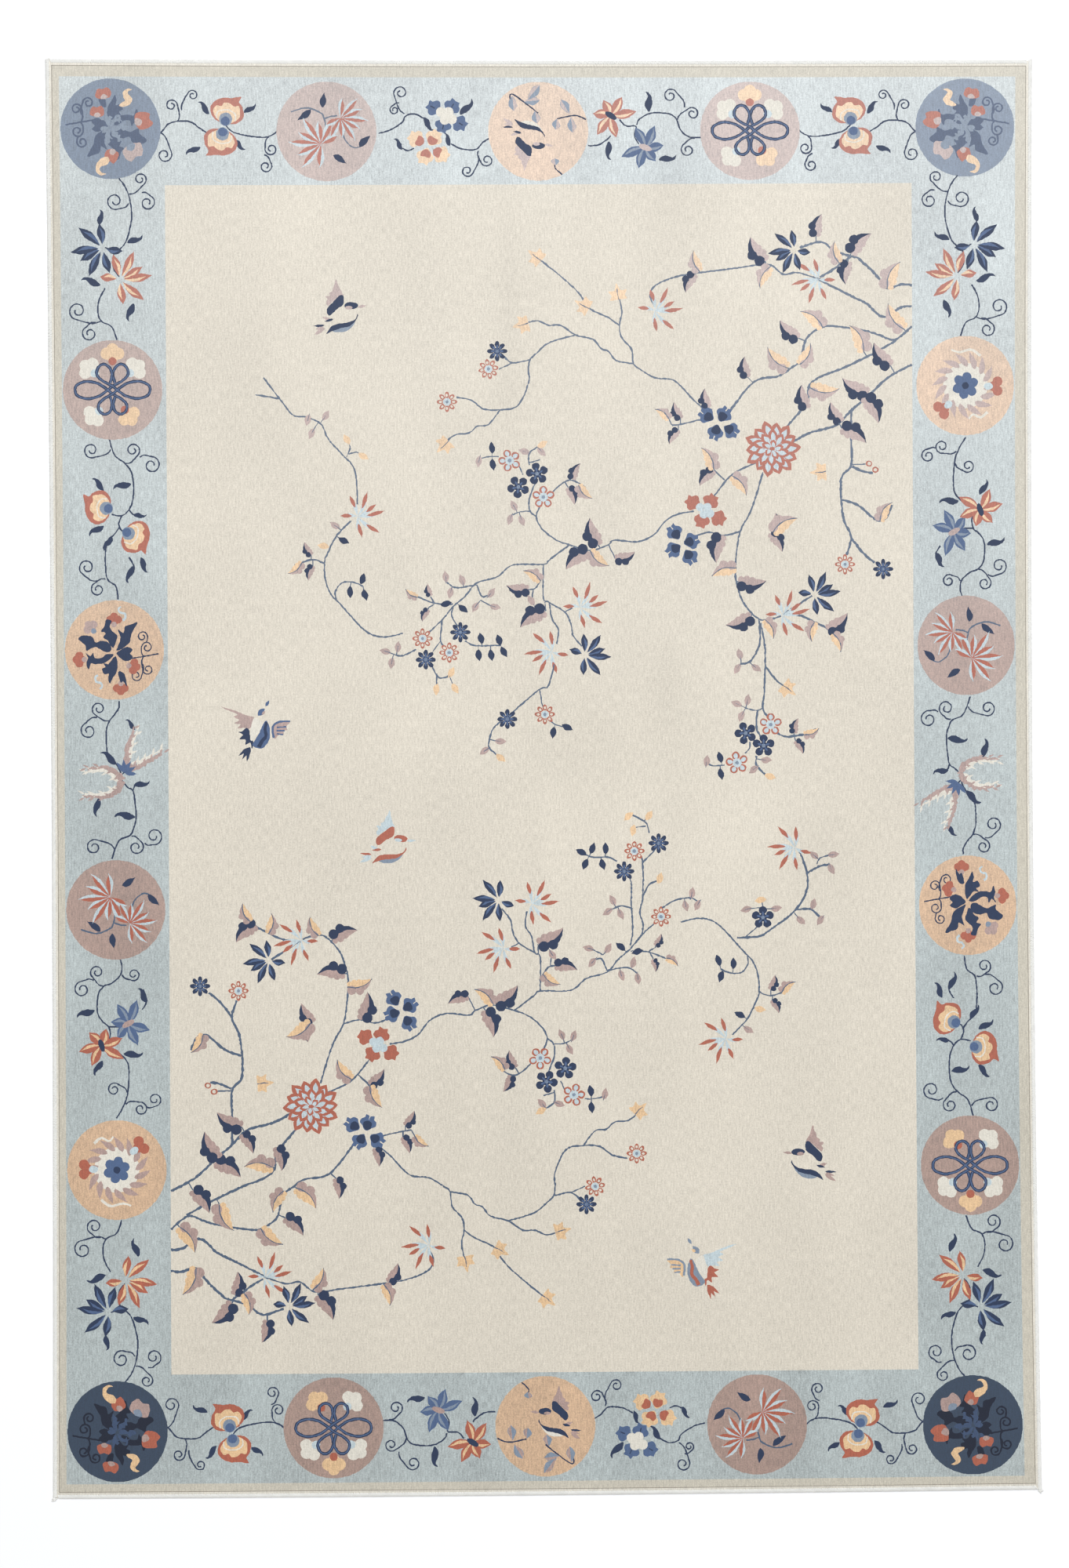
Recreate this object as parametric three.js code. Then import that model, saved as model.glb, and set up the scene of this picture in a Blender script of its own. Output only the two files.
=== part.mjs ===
// Flat woven area rug with an overcast yarn edge. Millimetres, +Z up.
// The rug lies on Z = 0, its length runs along Y, and the origin is under its middle.

import * as THREE from 'three';

// Driving sizes
const HALF_WIDTH = 1000; // nominal, from the middle to the outside of the edging
const HALF_LENGTH = 1453;
const CLOTH_THICKNESS = 6; // ground weave with its short dense nap
const EDGING_WIDTH = 11; // overcast yarn, seen from above
const EDGING_HEIGHT = 7;
const MARGIN_THICKNESS = 2.2; // bare ground weave that the yarn wraps
const MARGIN_REACH = 7.5; // how far that margin goes into the edging
const GAP = 0.3; // clearance between separate pieces
const SPANS = 24; // straight steps along each side

// How far each side of the cloth strays from its nominal straight line, at both ends and the
// middle. Side values are along X, from the bottom end to the top end. End values are along Y,
// from left to right.
const STRAY = {
  left: { start: -2, middle: 3, end: -2 },
  right: { start: 2, middle: -9, end: -2 },
  top: { start: 6, middle: -3, end: -7 },
  bottom: { start: -6, middle: -4, end: 2 },
};

const COLOURS = { cloth: 0xddd6c6, edging: 0xece9e0 };

// Quadratic through a side's three stray values, for t from -1 to 1
function strayAt({ start, middle, end }, t) {
  const slope = (end - start) / 2;
  const bend = (end + start) / 2 - middle;
  return middle + slope * t + bend * t * t;
}

// Moves a point of the nominal rectangle to where the uneven cloth really lies
function lay(x, y, z) {
  const side = x < 0 ? STRAY.left : STRAY.right;
  const end = y < 0 ? STRAY.bottom : STRAY.top;
  const across = (Math.abs(x) / HALF_WIDTH) * strayAt(side, y / HALF_LENGTH);
  const along = (Math.abs(y) / HALF_LENGTH) * strayAt(end, x / HALF_WIDTH);
  return [x + across, y + along, z];
}

// Closed solid from a list of vertex positions and a list of triangles
function solid(name, positions, triangles, colour) {
  const geometry = new THREE.BufferGeometry();
  geometry.setAttribute('position', new THREE.Float32BufferAttribute(positions.flat(), 3));
  geometry.setIndex(triangles.flat());
  geometry.computeVertexNormals();
  const material = new THREE.MeshStandardMaterial({ color: colour, roughness: 0.95, metalness: 0 });
  const mesh = new THREE.Mesh(geometry, material);
  mesh.name = name;
  return mesh;
}

// Triangles joining ring a to ring b, both closed and of the same length
function band(a, b, length) {
  const triangles = [];
  for (let i = 0; i < length; i += 1) {
    const j = (i + 1) % length;
    triangles.push([a + i, a + j, b + j], [a + i, b + j, b + i]);
  }
  return triangles;
}

// Nominal rectangle set in from the outside by inset, anticlockwise seen from above
function rectangle(inset) {
  const w = HALF_WIDTH - inset;
  const l = HALF_LENGTH - inset;
  const corners = [[-w, -l], [w, -l], [w, l], [-w, l]];
  return corners.flatMap(([x, y], i) => {
    const [nextX, nextY] = corners[(i + 1) % corners.length];
    return Array.from({ length: SPANS }, (_, k) => [
      x + ((nextX - x) * k) / SPANS,
      y + ((nextY - y) * k) / SPANS,
    ]);
  });
}

// The cloth: full thickness inside the edging, and a thin margin that reaches into it
function rugBody() {
  const marginBottom = (EDGING_HEIGHT - MARGIN_THICKNESS) / 2;
  const marginTop = marginBottom + MARGIN_THICKNESS;
  const clothInset = EDGING_WIDTH + GAP;
  const marginInset = EDGING_WIDTH - MARGIN_REACH;
  const rings = [
    { inset: clothInset, z: 0 },
    { inset: clothInset, z: marginBottom },
    { inset: marginInset, z: marginBottom },
    { inset: marginInset, z: marginTop },
    { inset: clothInset, z: marginTop },
    { inset: clothInset, z: CLOTH_THICKNESS },
  ];
  const positions = rings.flatMap(({ inset, z }) => rectangle(inset).map(([x, y]) => lay(x, y, z)));
  const length = 4 * SPANS;
  const triangles = rings.slice(1).flatMap((_, i) => band(i * length, (i + 1) * length, length));
  const outline = positions.slice(0, length).map(([x, y]) => new THREE.Vector2(x, y));
  const topStart = (rings.length - 1) * length;
  for (const [a, b, c] of THREE.ShapeUtils.triangulateShape(outline, [])) {
    triangles.push([a, c, b], [topStart + a, topStart + b, topStart + c]);
  }
  return solid('rug_body', positions, triangles, COLOURS.cloth);
}

// Section of the overcast edge as [inwards from the outside, height]: a rounded bead with a slot
// for the cloth's margin, and flat where it lies on the floor
function edgingSection() {
  const slotEnd = EDGING_WIDTH - MARGIN_REACH - GAP;
  const slotBottom = (EDGING_HEIGHT - MARGIN_THICKNESS) / 2 - GAP;
  const slotTop = slotBottom + MARGIN_THICKNESS + 2 * GAP;
  const bevel = 0.8;
  const outer = [200, 180, 160, 135, 110, 90].map((degrees) => {
    const angle = THREE.MathUtils.degToRad(degrees);
    const radius = EDGING_HEIGHT / 2;
    return [radius * (1 + Math.cos(angle)), radius * (1 + Math.sin(angle))];
  });
  return [
    [EDGING_WIDTH - bevel, 0],
    [EDGING_WIDTH, bevel],
    [EDGING_WIDTH, slotBottom],
    [slotEnd, slotBottom],
    [slotEnd, slotTop],
    [EDGING_WIDTH, slotTop],
    [EDGING_WIDTH, EDGING_HEIGHT - bevel],
    [EDGING_WIDTH - bevel, EDGING_HEIGHT],
    ...outer.reverse(),
    [1.6, 0],
  ];
}

// One overcast strip. place(inwards, along) gives the nominal [x, y] of a section point, with
// along from -1 to 1, and turn is -1 where that runs the section the other way round.
function edging(name, place, turn) {
  const section = edgingSection();
  const count = section.length;
  const positions = [];
  for (let i = 0; i <= SPANS; i += 1) {
    const along = (2 * i) / SPANS - 1;
    for (const [inwards, z] of section) positions.push(lay(...place(inwards, along), z));
  }
  const outline = section.map(([inwards, z]) => new THREE.Vector2(inwards, z));
  const last = SPANS * count;
  const triangles = THREE.ShapeUtils.triangulateShape(outline, []).flatMap(([a, b, c]) => [
    [a, c, b],
    [last + a, last + b, last + c],
  ]);
  for (let i = 0; i < SPANS; i += 1) triangles.push(...band(i * count, (i + 1) * count, count));
  const faced = turn < 0 ? triangles.map(([a, b, c]) => [a, c, b]) : triangles;
  return solid(name, positions, faced, COLOURS.edging);
}

function edgings() {
  const endReach = HALF_WIDTH - EDGING_WIDTH - GAP; // the ends stop short of the long sides
  return [
    edging('edging_left', (inwards, along) => [inwards - HALF_WIDTH, along * HALF_LENGTH], -1),
    edging('edging_right', (inwards, along) => [HALF_WIDTH - inwards, along * HALF_LENGTH], 1),
    edging('edging_top', (inwards, along) => [along * endReach, HALF_LENGTH - inwards], -1),
    edging('edging_bottom', (inwards, along) => [along * endReach, inwards - HALF_LENGTH], 1),
  ];
}

const rug = new THREE.Group();
rug.name = 'rug';
rug.add(rugBody(), ...edgings());

export default rug;
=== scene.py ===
"""Flat woven rug: cream field with flowering sprays and birds, pale blue border, overcast edge.

The pattern is drawn as filled outlines in yarn colours and cut into one flat cloth mesh.
Lengths in the drawing are knots, and one knot is one pixel of the 1363 by 2000 photo.
"""
import cmath
import math
import random

import bpy
import numpy as np
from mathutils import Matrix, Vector
from mathutils.geometry import delaunay_2d_cdt

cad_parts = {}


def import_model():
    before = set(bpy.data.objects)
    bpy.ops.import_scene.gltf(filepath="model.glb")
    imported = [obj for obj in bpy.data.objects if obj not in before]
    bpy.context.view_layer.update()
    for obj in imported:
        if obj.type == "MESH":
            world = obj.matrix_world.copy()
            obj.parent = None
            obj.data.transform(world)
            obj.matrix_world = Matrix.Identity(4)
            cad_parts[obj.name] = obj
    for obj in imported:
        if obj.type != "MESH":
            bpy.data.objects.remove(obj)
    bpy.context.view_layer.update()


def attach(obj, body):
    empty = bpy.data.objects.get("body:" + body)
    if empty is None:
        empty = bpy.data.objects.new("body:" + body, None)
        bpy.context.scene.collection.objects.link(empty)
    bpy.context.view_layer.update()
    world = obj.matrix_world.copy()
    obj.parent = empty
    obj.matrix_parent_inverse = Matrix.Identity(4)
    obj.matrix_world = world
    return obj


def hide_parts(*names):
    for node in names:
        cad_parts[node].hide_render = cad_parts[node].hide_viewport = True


# Sizes in millimetres, the same as those of the solid part
HALF_WIDTH = 1000.0
HALF_LENGTH = 1453.0
CLOTH_THICKNESS = 6.0
EDGING_WIDTH = 11.0
EDGING_HEIGHT = 7.0
MARGIN_THICKNESS = 2.2
MARGIN_REACH = 7.5
GAP = 0.3
STRAY = {  # how far each side strays from straight, at its start, middle and end
    "left": (-2.0, 3.0, -2.0),
    "right": (2.0, -9.0, -2.0),
    "top": (6.0, -3.0, -7.0),
    "bottom": (-6.0, -4.0, 2.0),
}

# Pattern sizes in millimetres
KNOT = 1.587
PATTERN_SHIFT = complex(-3.5, -3.0)
PATTERN_SQUEEZE = 0.9965  # along the length
FIELD_HALF = (756.0, 1202.0)
BORDER_HALF = (968.0, 1420.0)
ROUNDEL_RADIUS = 101.0
ROUNDEL_SIDE = 865.0
ROUNDEL_END = 1320.0
ROW_DIP = 5.0  # how far the three middle roundels of an end lie in from the corner ones
ROW_STEP = 428.5
HEM_LINES = ((2.2, "white"), (3.6, "hem"))  # width of each thin line along the cloth's edge
BAND_COUNT = len(HEM_LINES) + 3  # hem lines, guard, sky and field, drawn before all motifs
BOUNDARY_STEP = 40.0

EDGE_DRAW = 5.0  # power that keeps a side's straying near the edge, so that the pattern stays straight

# Photo pixels
PHOTO_MIDDLE = complex(689.0, 993.0)
PHOTO_TURN = 0.0055

# Drawing, in knots
STEP = 2.3
SNAP = 0.7
STEM_WIDTH = 2.0
VINE_WIDTH = 1.9
TWIG_WIDTH = 1.6
ROOT_START = 200.0  # stems swell from here towards the side they grow from
ROOT_LENGTH = 260.0
ROOT_SWELL = 1.4
LONGEST_TWIG = 22.0
LONGEST_LEAF = 38.0
COIL_STEPS = 18
COIL_TURN = 2 * math.pi * 1.3
COIL_BOW = 0.2
COIL_SHRINK = 0.72
COIL_WIDTH = 1.8
VINE_ROUGH = 0.15
STEM_ROUGH = 0.3
SHORT_STEM = 12  # points of a stem that is drawn as a twig
LEAFLET_REACH = 7.5  # from the start of a small leaf to its middle

# Yarns: colour as sRGB bytes, and gloss of the nap, which sets the coat and how much painted sheen the yarn
# takes towards the far end
YARNS = {
    "field": ((221, 212, 194), 0.22),
    "sky": ((172, 181, 178), 1.0),
    "guard": ((203, 196, 178), 0.3),
    "white": ((226, 220, 205), 0.2),
    "hem": ((150, 140, 124), 0.2),
    "navy": ((33, 50, 80), 0.08),
    "slate": ((76, 98, 134), 0.12),
    "ink": ((16, 26, 46), 0.05),
    "shade": ((48, 70, 102), 0.3),
    "stem": ((66, 86, 110), 0.4),
    "indigo": ((38, 58, 80), 0.35),
    # dusk is indigo drawn paler for the far-end corners: painted sheen
    "dusk": ((60, 90, 120), 0.75),
    "grey": ((126, 140, 156), 0.3),
    "rust": ((172, 88, 61), 0.4),
    "peach": ((226, 187, 138), 0.75),
    "gold": ((206, 169, 131), 0.95),
    "pink": ((163, 133, 118), 1.0),
    "mauve": ((168, 139, 129), 0.85),
    "ice": ((192, 206, 208), 0.4),
}
YARN_NAMES = sorted(YARNS)

chance = random.Random(11)


# Drawing tools: every point is a complex number, x to the right and y up


def curve(points, closed=False, step=STEP):
    """Smooth line through given points, as points about a step apart."""
    count = len(points)
    line = []
    for i in range(count if closed else count - 1):
        around = []
        for k in (-1, 0, 1, 2):
            around.append(points[(i + k) % count if closed else min(max(i + k, 0), count - 1)])
        before, start, end, after = around
        pieces = max(1, round(abs(end - start) / step))
        for k in range(pieces):
            t = k / pieces
            square = (2 * before - 5 * start + 4 * end - after) * t * t
            cube = (3 * start - before - 3 * end + after) * t * t * t
            line.append(0.5 * (2 * start + (end - before) * t + square + cube))
    if not closed:
        line.append(points[-1])
    return line


def blade(length, width, bend=0.0, belly=0.45, halves=(1, 1)):
    """Pointed leaf or petal from 0 to length, with the share of each half in halves."""
    pieces = max(4, round(length / STEP))
    power = math.log(0.5) / math.log(belly)
    left, right = [], []
    for k in range(pieces + 1):
        t = k / pieces
        spine = complex(length * t, bend * length * t * t)
        half = 0.5j * width * math.sin(math.pi * t**power) ** (0.8 if t < belly else 1.25)
        left.append(spine + half * halves[0])
        right.append(spine - half * halves[1])
    return left + right[-2:0:-1]


def disc(radius, centre=0j, stretch=1.0):
    """Oval, stretched along x."""
    pieces = max(8, round(6.3 * radius / STEP))
    turns = [2 * math.pi * k / pieces for k in range(pieces)]
    return [centre + radius * complex(stretch * math.cos(a), math.sin(a)) for a in turns]


def ribbon(line, width, ends=(1.0, 1.0), rough=0.0):
    """Outline of a stroke along a line, its width scaled at both ends and roughened."""
    last = len(line) - 1
    left, right = [], []
    for k, point in enumerate(line):
        ahead = line[min(k + 1, last)] - line[max(k - 1, 0)]
        across = 1j * ahead / abs(ahead) if abs(ahead) > 1e-6 else 1j
        share = ends[0] + (ends[1] - ends[0]) * k / last
        half = 0.5 * width * share * (1 + rough * chance.uniform(-1, 1))
        middle = point + across * width * 0.3 * rough * chance.uniform(-1, 1)
        left.append(middle + across * half)
        right.append(middle - across * half)
    return left + right[::-1]


def coil(start, centre, radius):
    """Bowed line from start to a circle about centre, winding in, clockwise if radius is negative."""
    hand = math.copysign(1, radius)
    arm = start - centre
    radius = min(abs(radius), 0.97 * abs(arm))
    first = cmath.phase(arm) + hand * math.acos(radius / abs(arm))
    touch = centre + cmath.rect(radius, first)
    middle = 0.5 * (start + touch)
    outwards = (middle - centre) / abs(middle - centre)
    line = [start, middle + COIL_BOW * abs(touch - start) * outwards]
    for k in range(COIL_STEPS + 1):
        t = k / COIL_STEPS
        line.append(centre + cmath.rect(radius * (1 - COIL_SHRINK * t**1.15), first + hand * COIL_TURN * t))
    return curve(line)


def at(x, y):
    """Pattern position, in knots, of a pixel of the photo."""
    right = x - PHOTO_MIDDLE.real
    down = y - PHOTO_MIDDLE.imag
    return complex(right - PHOTO_TURN * down, -(down + PHOTO_TURN * right))


def pixels(text):
    """Pattern positions of photo pixels written as x,y pairs."""
    return [at(*map(float, pair.split(","))) for pair in text.split()]


class Pen:
    """Draws filled outlines on a chart, in a motif's own frame."""

    def __init__(self, chart, turn=1 + 0j, place=0j, flip=False):
        self.chart = chart
        self.turn = turn
        self.place = place
        self.flip = flip

    def spot(self, point):
        return self.place + self.turn * (point.conjugate() if self.flip else point)

    def part(self, place, heading=0.0, size=1.0, flip=False):
        """A pen for a motif inside this one, its x axis along heading in degrees."""
        turn = cmath.rect(size, math.radians(heading))
        turn = turn.conjugate() if self.flip else turn
        return Pen(self.chart, self.turn * turn, self.spot(place), self.flip != flip)

    def toward(self, base, tip, size=1.0, flip=False):
        """A pen at base with its x axis towards tip."""
        return self.part(base, math.degrees(cmath.phase(tip - base)), size, flip)

    def fill(self, yarn, outline):
        self.chart.append((yarn, [self.spot(point) for point in outline]))

    def shape(self, yarn, points):
        self.fill(yarn, curve(points, closed=True))

    def line(self, yarn, points, width, ends=(1.0, 1.0), rough=0.0):
        self.fill(yarn, ribbon(curve(points), width, ends, rough))

    def stroke(self, yarn, line, width, ends=(1.0, 1.0), rough=0.0):
        self.fill(yarn, ribbon(line, width, ends, rough))


# Leaves

# Outlines as shares of the length: lobes by centre and radius, the rim by place and height
CLUB_LOBES = ((0.1 + 0.17j, 0.185), (0.4 + 0.29j, 0.17))
CLUB_RIM = ((0.0, 0.05), (0.15, 0.15), (0.3, 0.15), (0.45, 0.19), (0.62, 0.17), (0.8, 0.11), (1.0, 0.0))
SCALLOP_RIM = (
    -0.02 - 0.08j, 0.02 - 0.17j, 0.11 - 0.2j, 0.17 - 0.15j, 0.25 - 0.2j, 0.36 - 0.19j, 0.4 - 0.13j,
    0.5 - 0.15j, 0.58 - 0.12j, 0.62 - 0.08j, 0.74 - 0.06j, 0.88 - 0.02j,
)
RIB_BEND = 0.62
LEAF_KINDS = {"navy": ("navy", "mauve"), "peach": ("mauve", "peach")}


def lobed_leaf(pen, length, kind):
    """Curved leaf in two colours: two round lobes and a crescent outside its rib, scallops inside."""

    def rib(t):
        return length * complex(t, RIB_BEND * t * (1 - t))

    spine = [rib(k / 8) for k in range(9)]
    club, scallop = LEAF_KINDS[kind]
    inner = curve([0j] + [length * point for point in SCALLOP_RIM] + [length + 0j])
    outer = curve([rib(t) + 1j * share * length for t, share in CLUB_RIM])
    pen.fill(scallop, spine + inner[-2:0:-1])
    pen.fill(club, spine + outer[-2:0:-1])
    for centre, radius in CLUB_LOBES:
        pen.fill(club, disc(radius * length, centre * length))
    if kind == "peach":
        pen.stroke("stem", spine, 1.4, (1.0, 0.6))


def leaflet(pen, yarn):
    """Small pointed leaf, with a rib where its yarn is pale."""
    pen.fill(yarn, blade(15.5, 8.4, 0.12, 0.5))
    if yarn == "mauve":
        pen.stroke("stem", [-1 + 0j, 4 + 0.2j, 9 + 0.8j], 0.9, (1.0, 0.5))


MAPLE_TIPS = ((-112, 11), (-58, 14), (0, 17), (54, 14), (108, 12))  # angle and reach of each lobe
MAPLE_NOTCH = 8.8


def maple_leaf(pen):
    """Peach leaf with blunt lobes, its twig running into it."""
    rim = []
    for k, (angle, reach) in enumerate(MAPLE_TIPS):
        rim.append(cmath.rect(reach, math.radians(angle)))
        if k + 1 < len(MAPLE_TIPS):
            rim.append(cmath.rect(MAPLE_NOTCH, math.radians(0.5 * (angle + MAPLE_TIPS[k + 1][0]))))
    rim.append(-4 + 0j)
    pen.shape("peach", rim)
    pen.line("stem", [-4 + 0j, 4 + 0.6j, 10 + 0j], 1.4, (1.0, 0.5))


HOOKED_LEAF = (  # shares of the length
    0j, 0.1 + 0.12j, 0.3 + 0.22j, 0.52 + 0.2j, 0.72 + 0.1j, 0.88 + 0.09j, 1.04 + 0.2j, 1.0 + 0.04j,
    0.86 - 0.08j, 0.66 - 0.14j, 0.4 - 0.15j, 0.16 - 0.08j,
)


def hooked_leaf(pen, length):
    """Dark border leaf with a round body and a hooked point."""
    pen.shape("navy", [length * point for point in HOOKED_LEAF])


# Flowers of the field


def petal_flower(pen, petals, radius, petal_yarn, edge_yarn, heart):
    """Round-petalled flower, outlined where it has an edge yarn."""
    width = 0.92 * 2 * math.pi * 0.62 * radius / petals
    for k in range(petals):
        ray = pen.part(0j, 90 + 360 * k / petals)
        reach = 0.5 * (radius - 0.3 * radius)
        middle = complex(radius - reach, 0)
        ray.fill(edge_yarn or petal_yarn, disc(0.5 * width, middle, 2 * reach / width))
    if edge_yarn:
        for k in range(petals):
            ray = pen.part(0j, 90 + 360 * k / petals)
            ray.fill(petal_yarn, disc(0.27 * width, complex(0.64 * radius, 0), 1.25))
        pen.fill(petal_yarn, disc(0.4 * radius))
    pen.fill(heart[0], disc(0.36 * radius))
    pen.fill(heart[1], disc(0.17 * radius))


FLOWER_RADIUS = {5: 14.5, 8: 13.2}  # by the number of petals
FLOWER_FILLING = {5: "ice", 8: "field"}


def outline_flower(pen, petals):
    filling = FLOWER_FILLING[petals]
    petal_flower(pen, petals, FLOWER_RADIUS[petals], filling, "rust", ("ice", "grey"))


def navy_flower(pen, petals):
    petal_flower(pen, petals, FLOWER_RADIUS[petals], "navy", None, ("navy", "grey"))
    for k in range(petals):
        pen.part(0j, 90 + 360 * k / petals).fill("slate", blade(8.5, 2.6, 0, 0.7))


FAN_PETALS = ((350, 20), (284, 26), (242, 32), (208, 26), (186, 33), (138, 32), (96, 25))


def lance_fan(pen, outer="navy", inner="slate", size=1.0):
    """Spread of lance petals in two tones, facing along -x."""
    for angle, length in FAN_PETALS:
        petal = pen.part(cmath.rect(4.0 * size, math.radians(angle)), angle - 4)
        reach = length * size - 3.0
        petal.fill(outer, blade(reach, 8.8 * size, 0.1, 0.56))
        petal.fill(inner, blade(0.8 * reach, 8.0 * size, 0.1, 0.54, (-0.08, 0.86)))


def rust_fan(pen):
    """Spread of thin pale petals with rust tips."""
    for angle, length in FAN_PETALS:
        pen.part(0j, angle - 8).fill("ice", blade(0.86 * length, 5.0, 0.2, 0.6))
    for k, (angle, length) in enumerate(FAN_PETALS):
        start = 0.36 + 0.1 * (k % 2)
        petal = pen.part(cmath.rect(start * length, math.radians(angle)), angle - 4)
        petal.fill("rust", blade((1.08 - start) * length, 7.0, 0.25, 0.5, (1.0, 0.5)))


def chrysanthemum(pen):
    """Large flower of three rings of pointed petals."""
    rings = ((14, 13.0, 37.0, 13.0, 0), (10, 6.0, 26.5, 11.5, 14), (5, 0.5, 15.0, 9.0, 5))
    pen.fill("ice", disc(22.0))
    for petals, inner, outer, width, skew in rings:
        for k in range(petals):
            angle = skew + 360 * k / petals
            length = outer - inner - 3.0 * (k % 2)
            petal = pen.part(cmath.rect(inner, math.radians(angle)), angle)
            petal.fill("rust", blade(length, width, 0.08, 0.62))
            petal.fill("ice", blade(0.76 * length, 0.58 * width, 0.06, 0.6, (0.7, 1.1)))
    pen.fill("rust", disc(2.6, 0j, 1.4))


FOUR_PLACES = (-14.5 + 9.5j, 7 + 10.5j, -3.6 - 11.5j, 16 - 9.5j)
LOBED_PETAL = (
    -10 + 0j, -5 + 6j, -1 + 10.5j, 4 + 9.5j, 6.5 + 6j, 11 + 5.5j, 9.5 + 0j, 11 - 5.5j, 6.5 - 6j, 4 - 9.5j,
    -1 - 10.5j, -5 - 6j,
)


def four_petal(pen, kind):
    """Skewed square flower of four lobed petals."""
    for place in FOUR_PLACES:
        heading = math.degrees(cmath.phase(place))
        petal = pen.part(place, heading)
        if kind == "blue":
            petal.shape("slate", LOBED_PETAL)
            petal.shape("navy", [-9 + 0j, -5 + 5j, 0 + 6j, 3 + 1j, 1 - 5j, -5 - 5j])
            petal.line("field", [5 + 0.5j, 12 + 0j], 1.2)
        elif kind == "rust":
            petal.shape("rust", LOBED_PETAL)
        elif kind == "border":
            petal.shape("slate", LOBED_PETAL)
            petal.line("navy", [0j, 6 + 0.5j], 1.4)
        else:
            petal.part(0j, 0, 1.06).shape("peach", LOBED_PETAL)
    hearts = {"rust": ("ice", 0.42, 5.4), "border": ("white", 0.46, 6.4)}
    if kind in hearts:
        yarn, share, radius = hearts[kind]
        for place in FOUR_PLACES:
            pen.fill(yarn, disc(radius, share * place))
    if kind == "yellow":
        for place in FOUR_PLACES:
            heart = pen.part(0.68 * place, math.degrees(cmath.phase(place)))
            heart.shape("rust", [-5 + 0j, -1 + 6j, 5 + 5.5j, 5 + 0j, 6 - 5.5j, -1 - 6j])


def bud_pair(pen):
    """Two small looped buds."""
    for centre in (0j, 8 - 8j):
        pen.fill("rust", disc(4.0, centre, 1.1))
        pen.fill("field", disc(2.3, centre, 1.1))


# Birds


def swooping_bird(pen, wing, feather, under, beak):
    """Bird flying to the left with one wing up, about its middle."""
    pen.shape(feather, [
        -4 + 16j, 1 + 26j, 5 + 37j, 7 + 30j, 9 + 27j, 10 + 22j, 14 + 19j, 13 + 16j,
        19 + 15j, 16 + 11j, 18 + 8j, 16 + 3j, 10 + 8j, 3 + 14j,
    ])
    pen.shape(wing, [-4 + 16j, -4 + 5j, 4 - 1j, 12 - 9j, 16 - 8j, 17 - 1j, 12 + 5j, 5 + 12j, 1 + 16j])
    pen.shape(under, [-19 - 17j, -14 - 25j, -6 - 30j, 4 - 31j, 10 - 29j, 2 - 26j, -10 - 22j])
    pen.shape(wing, [
        -22 - 7j, -20 - 13j, -14 - 17j, -5 - 19j, 4 - 20j, 12 - 24j, 18 - 33j, 12 - 30j,
        4 - 27j, -4 - 25j, -12 - 23j, -19 - 17j, -23 - 10j,
    ])
    pen.fill(wing, disc(4.6, -14 + 3j, 1.9))
    pen.fill(feather, disc(2.4, -11 + 0.5j, 2.0))
    pen.part(-22 + 1j, 165).fill(beak, blade(12, 3.6, 0.1))
    pen.part(12 - 15j, 12).fill(feather, blade(12, 4.5, 0.1))
    pen.part(9 - 14j, -20).fill(wing, blade(12, 3.4, 0.1))
    pen.part(20 - 22j, -8).fill(wing, blade(15, 3.2, 0.1))
    pen.part(20 - 25j, -40).fill(feather, blade(17, 5.0, 0.1))
    pen.part(21 - 24j, -22).fill(feather, blade(12, 3.6, 0.1))


def gliding_bird(pen, wing, feather, back, breast):
    """Bird seen from above: a long feathered wing to the left and a folded one to the right."""
    pen.shape(feather, [
        -45 + 30j, -30 + 26j, -13 + 19j, -3 + 16j, -4 + 8j, -10 + 1j, -15 + 3j, -24 + 2j, -20 + 7j,
        -28 + 9j, -22 + 13j, -29 + 17j, -24 + 20j, -33 + 24j,
    ])
    pen.shape(wing, [
        -13 + 3j, -17 - 1j, -23 - 3j, -17 - 6j, -22 - 12j, -14 - 12j, -14 - 19j, -8 - 16j, -6 - 24j,
        -4 - 16j, -8 - 8j, -9 + 0j,
    ])
    pen.shape("white", [-4 + 14j, 2 + 14j, 8 + 6j, 2 - 4j, -6 - 14j, -8 - 6j])
    pen.shape(back, [13 + 12j, 17 + 2j, 17 - 10j, 12 - 20j, 4 - 24j, -5 - 19j, 0 - 10j, 5 - 1j, 9 + 8j])
    pen.line(wing, [13 + 10j, 11 + 1j, 12 - 8j, 6 - 16j, 3 - 22j], 5.0, (0.7, 1.0))
    pen.shape(breast, [
        22 + 8j, 30 + 11j, 43 + 10j, 38 + 4j, 40 + 0j, 34 - 1j, 35 - 6j, 29 - 6j, 23 - 12j, 22 - 2j,
    ])
    pen.line(back, [22 - 10j, 21 + 3j, 28 + 10j, 43 + 11j], 3.0, (1.0, 0.8))
    for k in range(3):
        pen.line(back, [complex(26, 3 - 4 * k), complex(38 - 2 * k, 4 - 5 * k)], 1.8)
    pen.part(2 + 18j, 48).fill(back, blade(13, 8.0, 0.0, 0.5))
    pen.part(7 + 20j, 40).fill(breast, blade(6, 4.0, 0.0, 0.5))
    pen.part(12 + 30j, 60).fill(back, blade(9, 4.0, 0.0, 0.5))
    for angle in (212, 232, 252):
        pen.part(-8 - 22j, angle).fill(wing, blade(19, 4.6, 0.08))


# Border flowers


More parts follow.
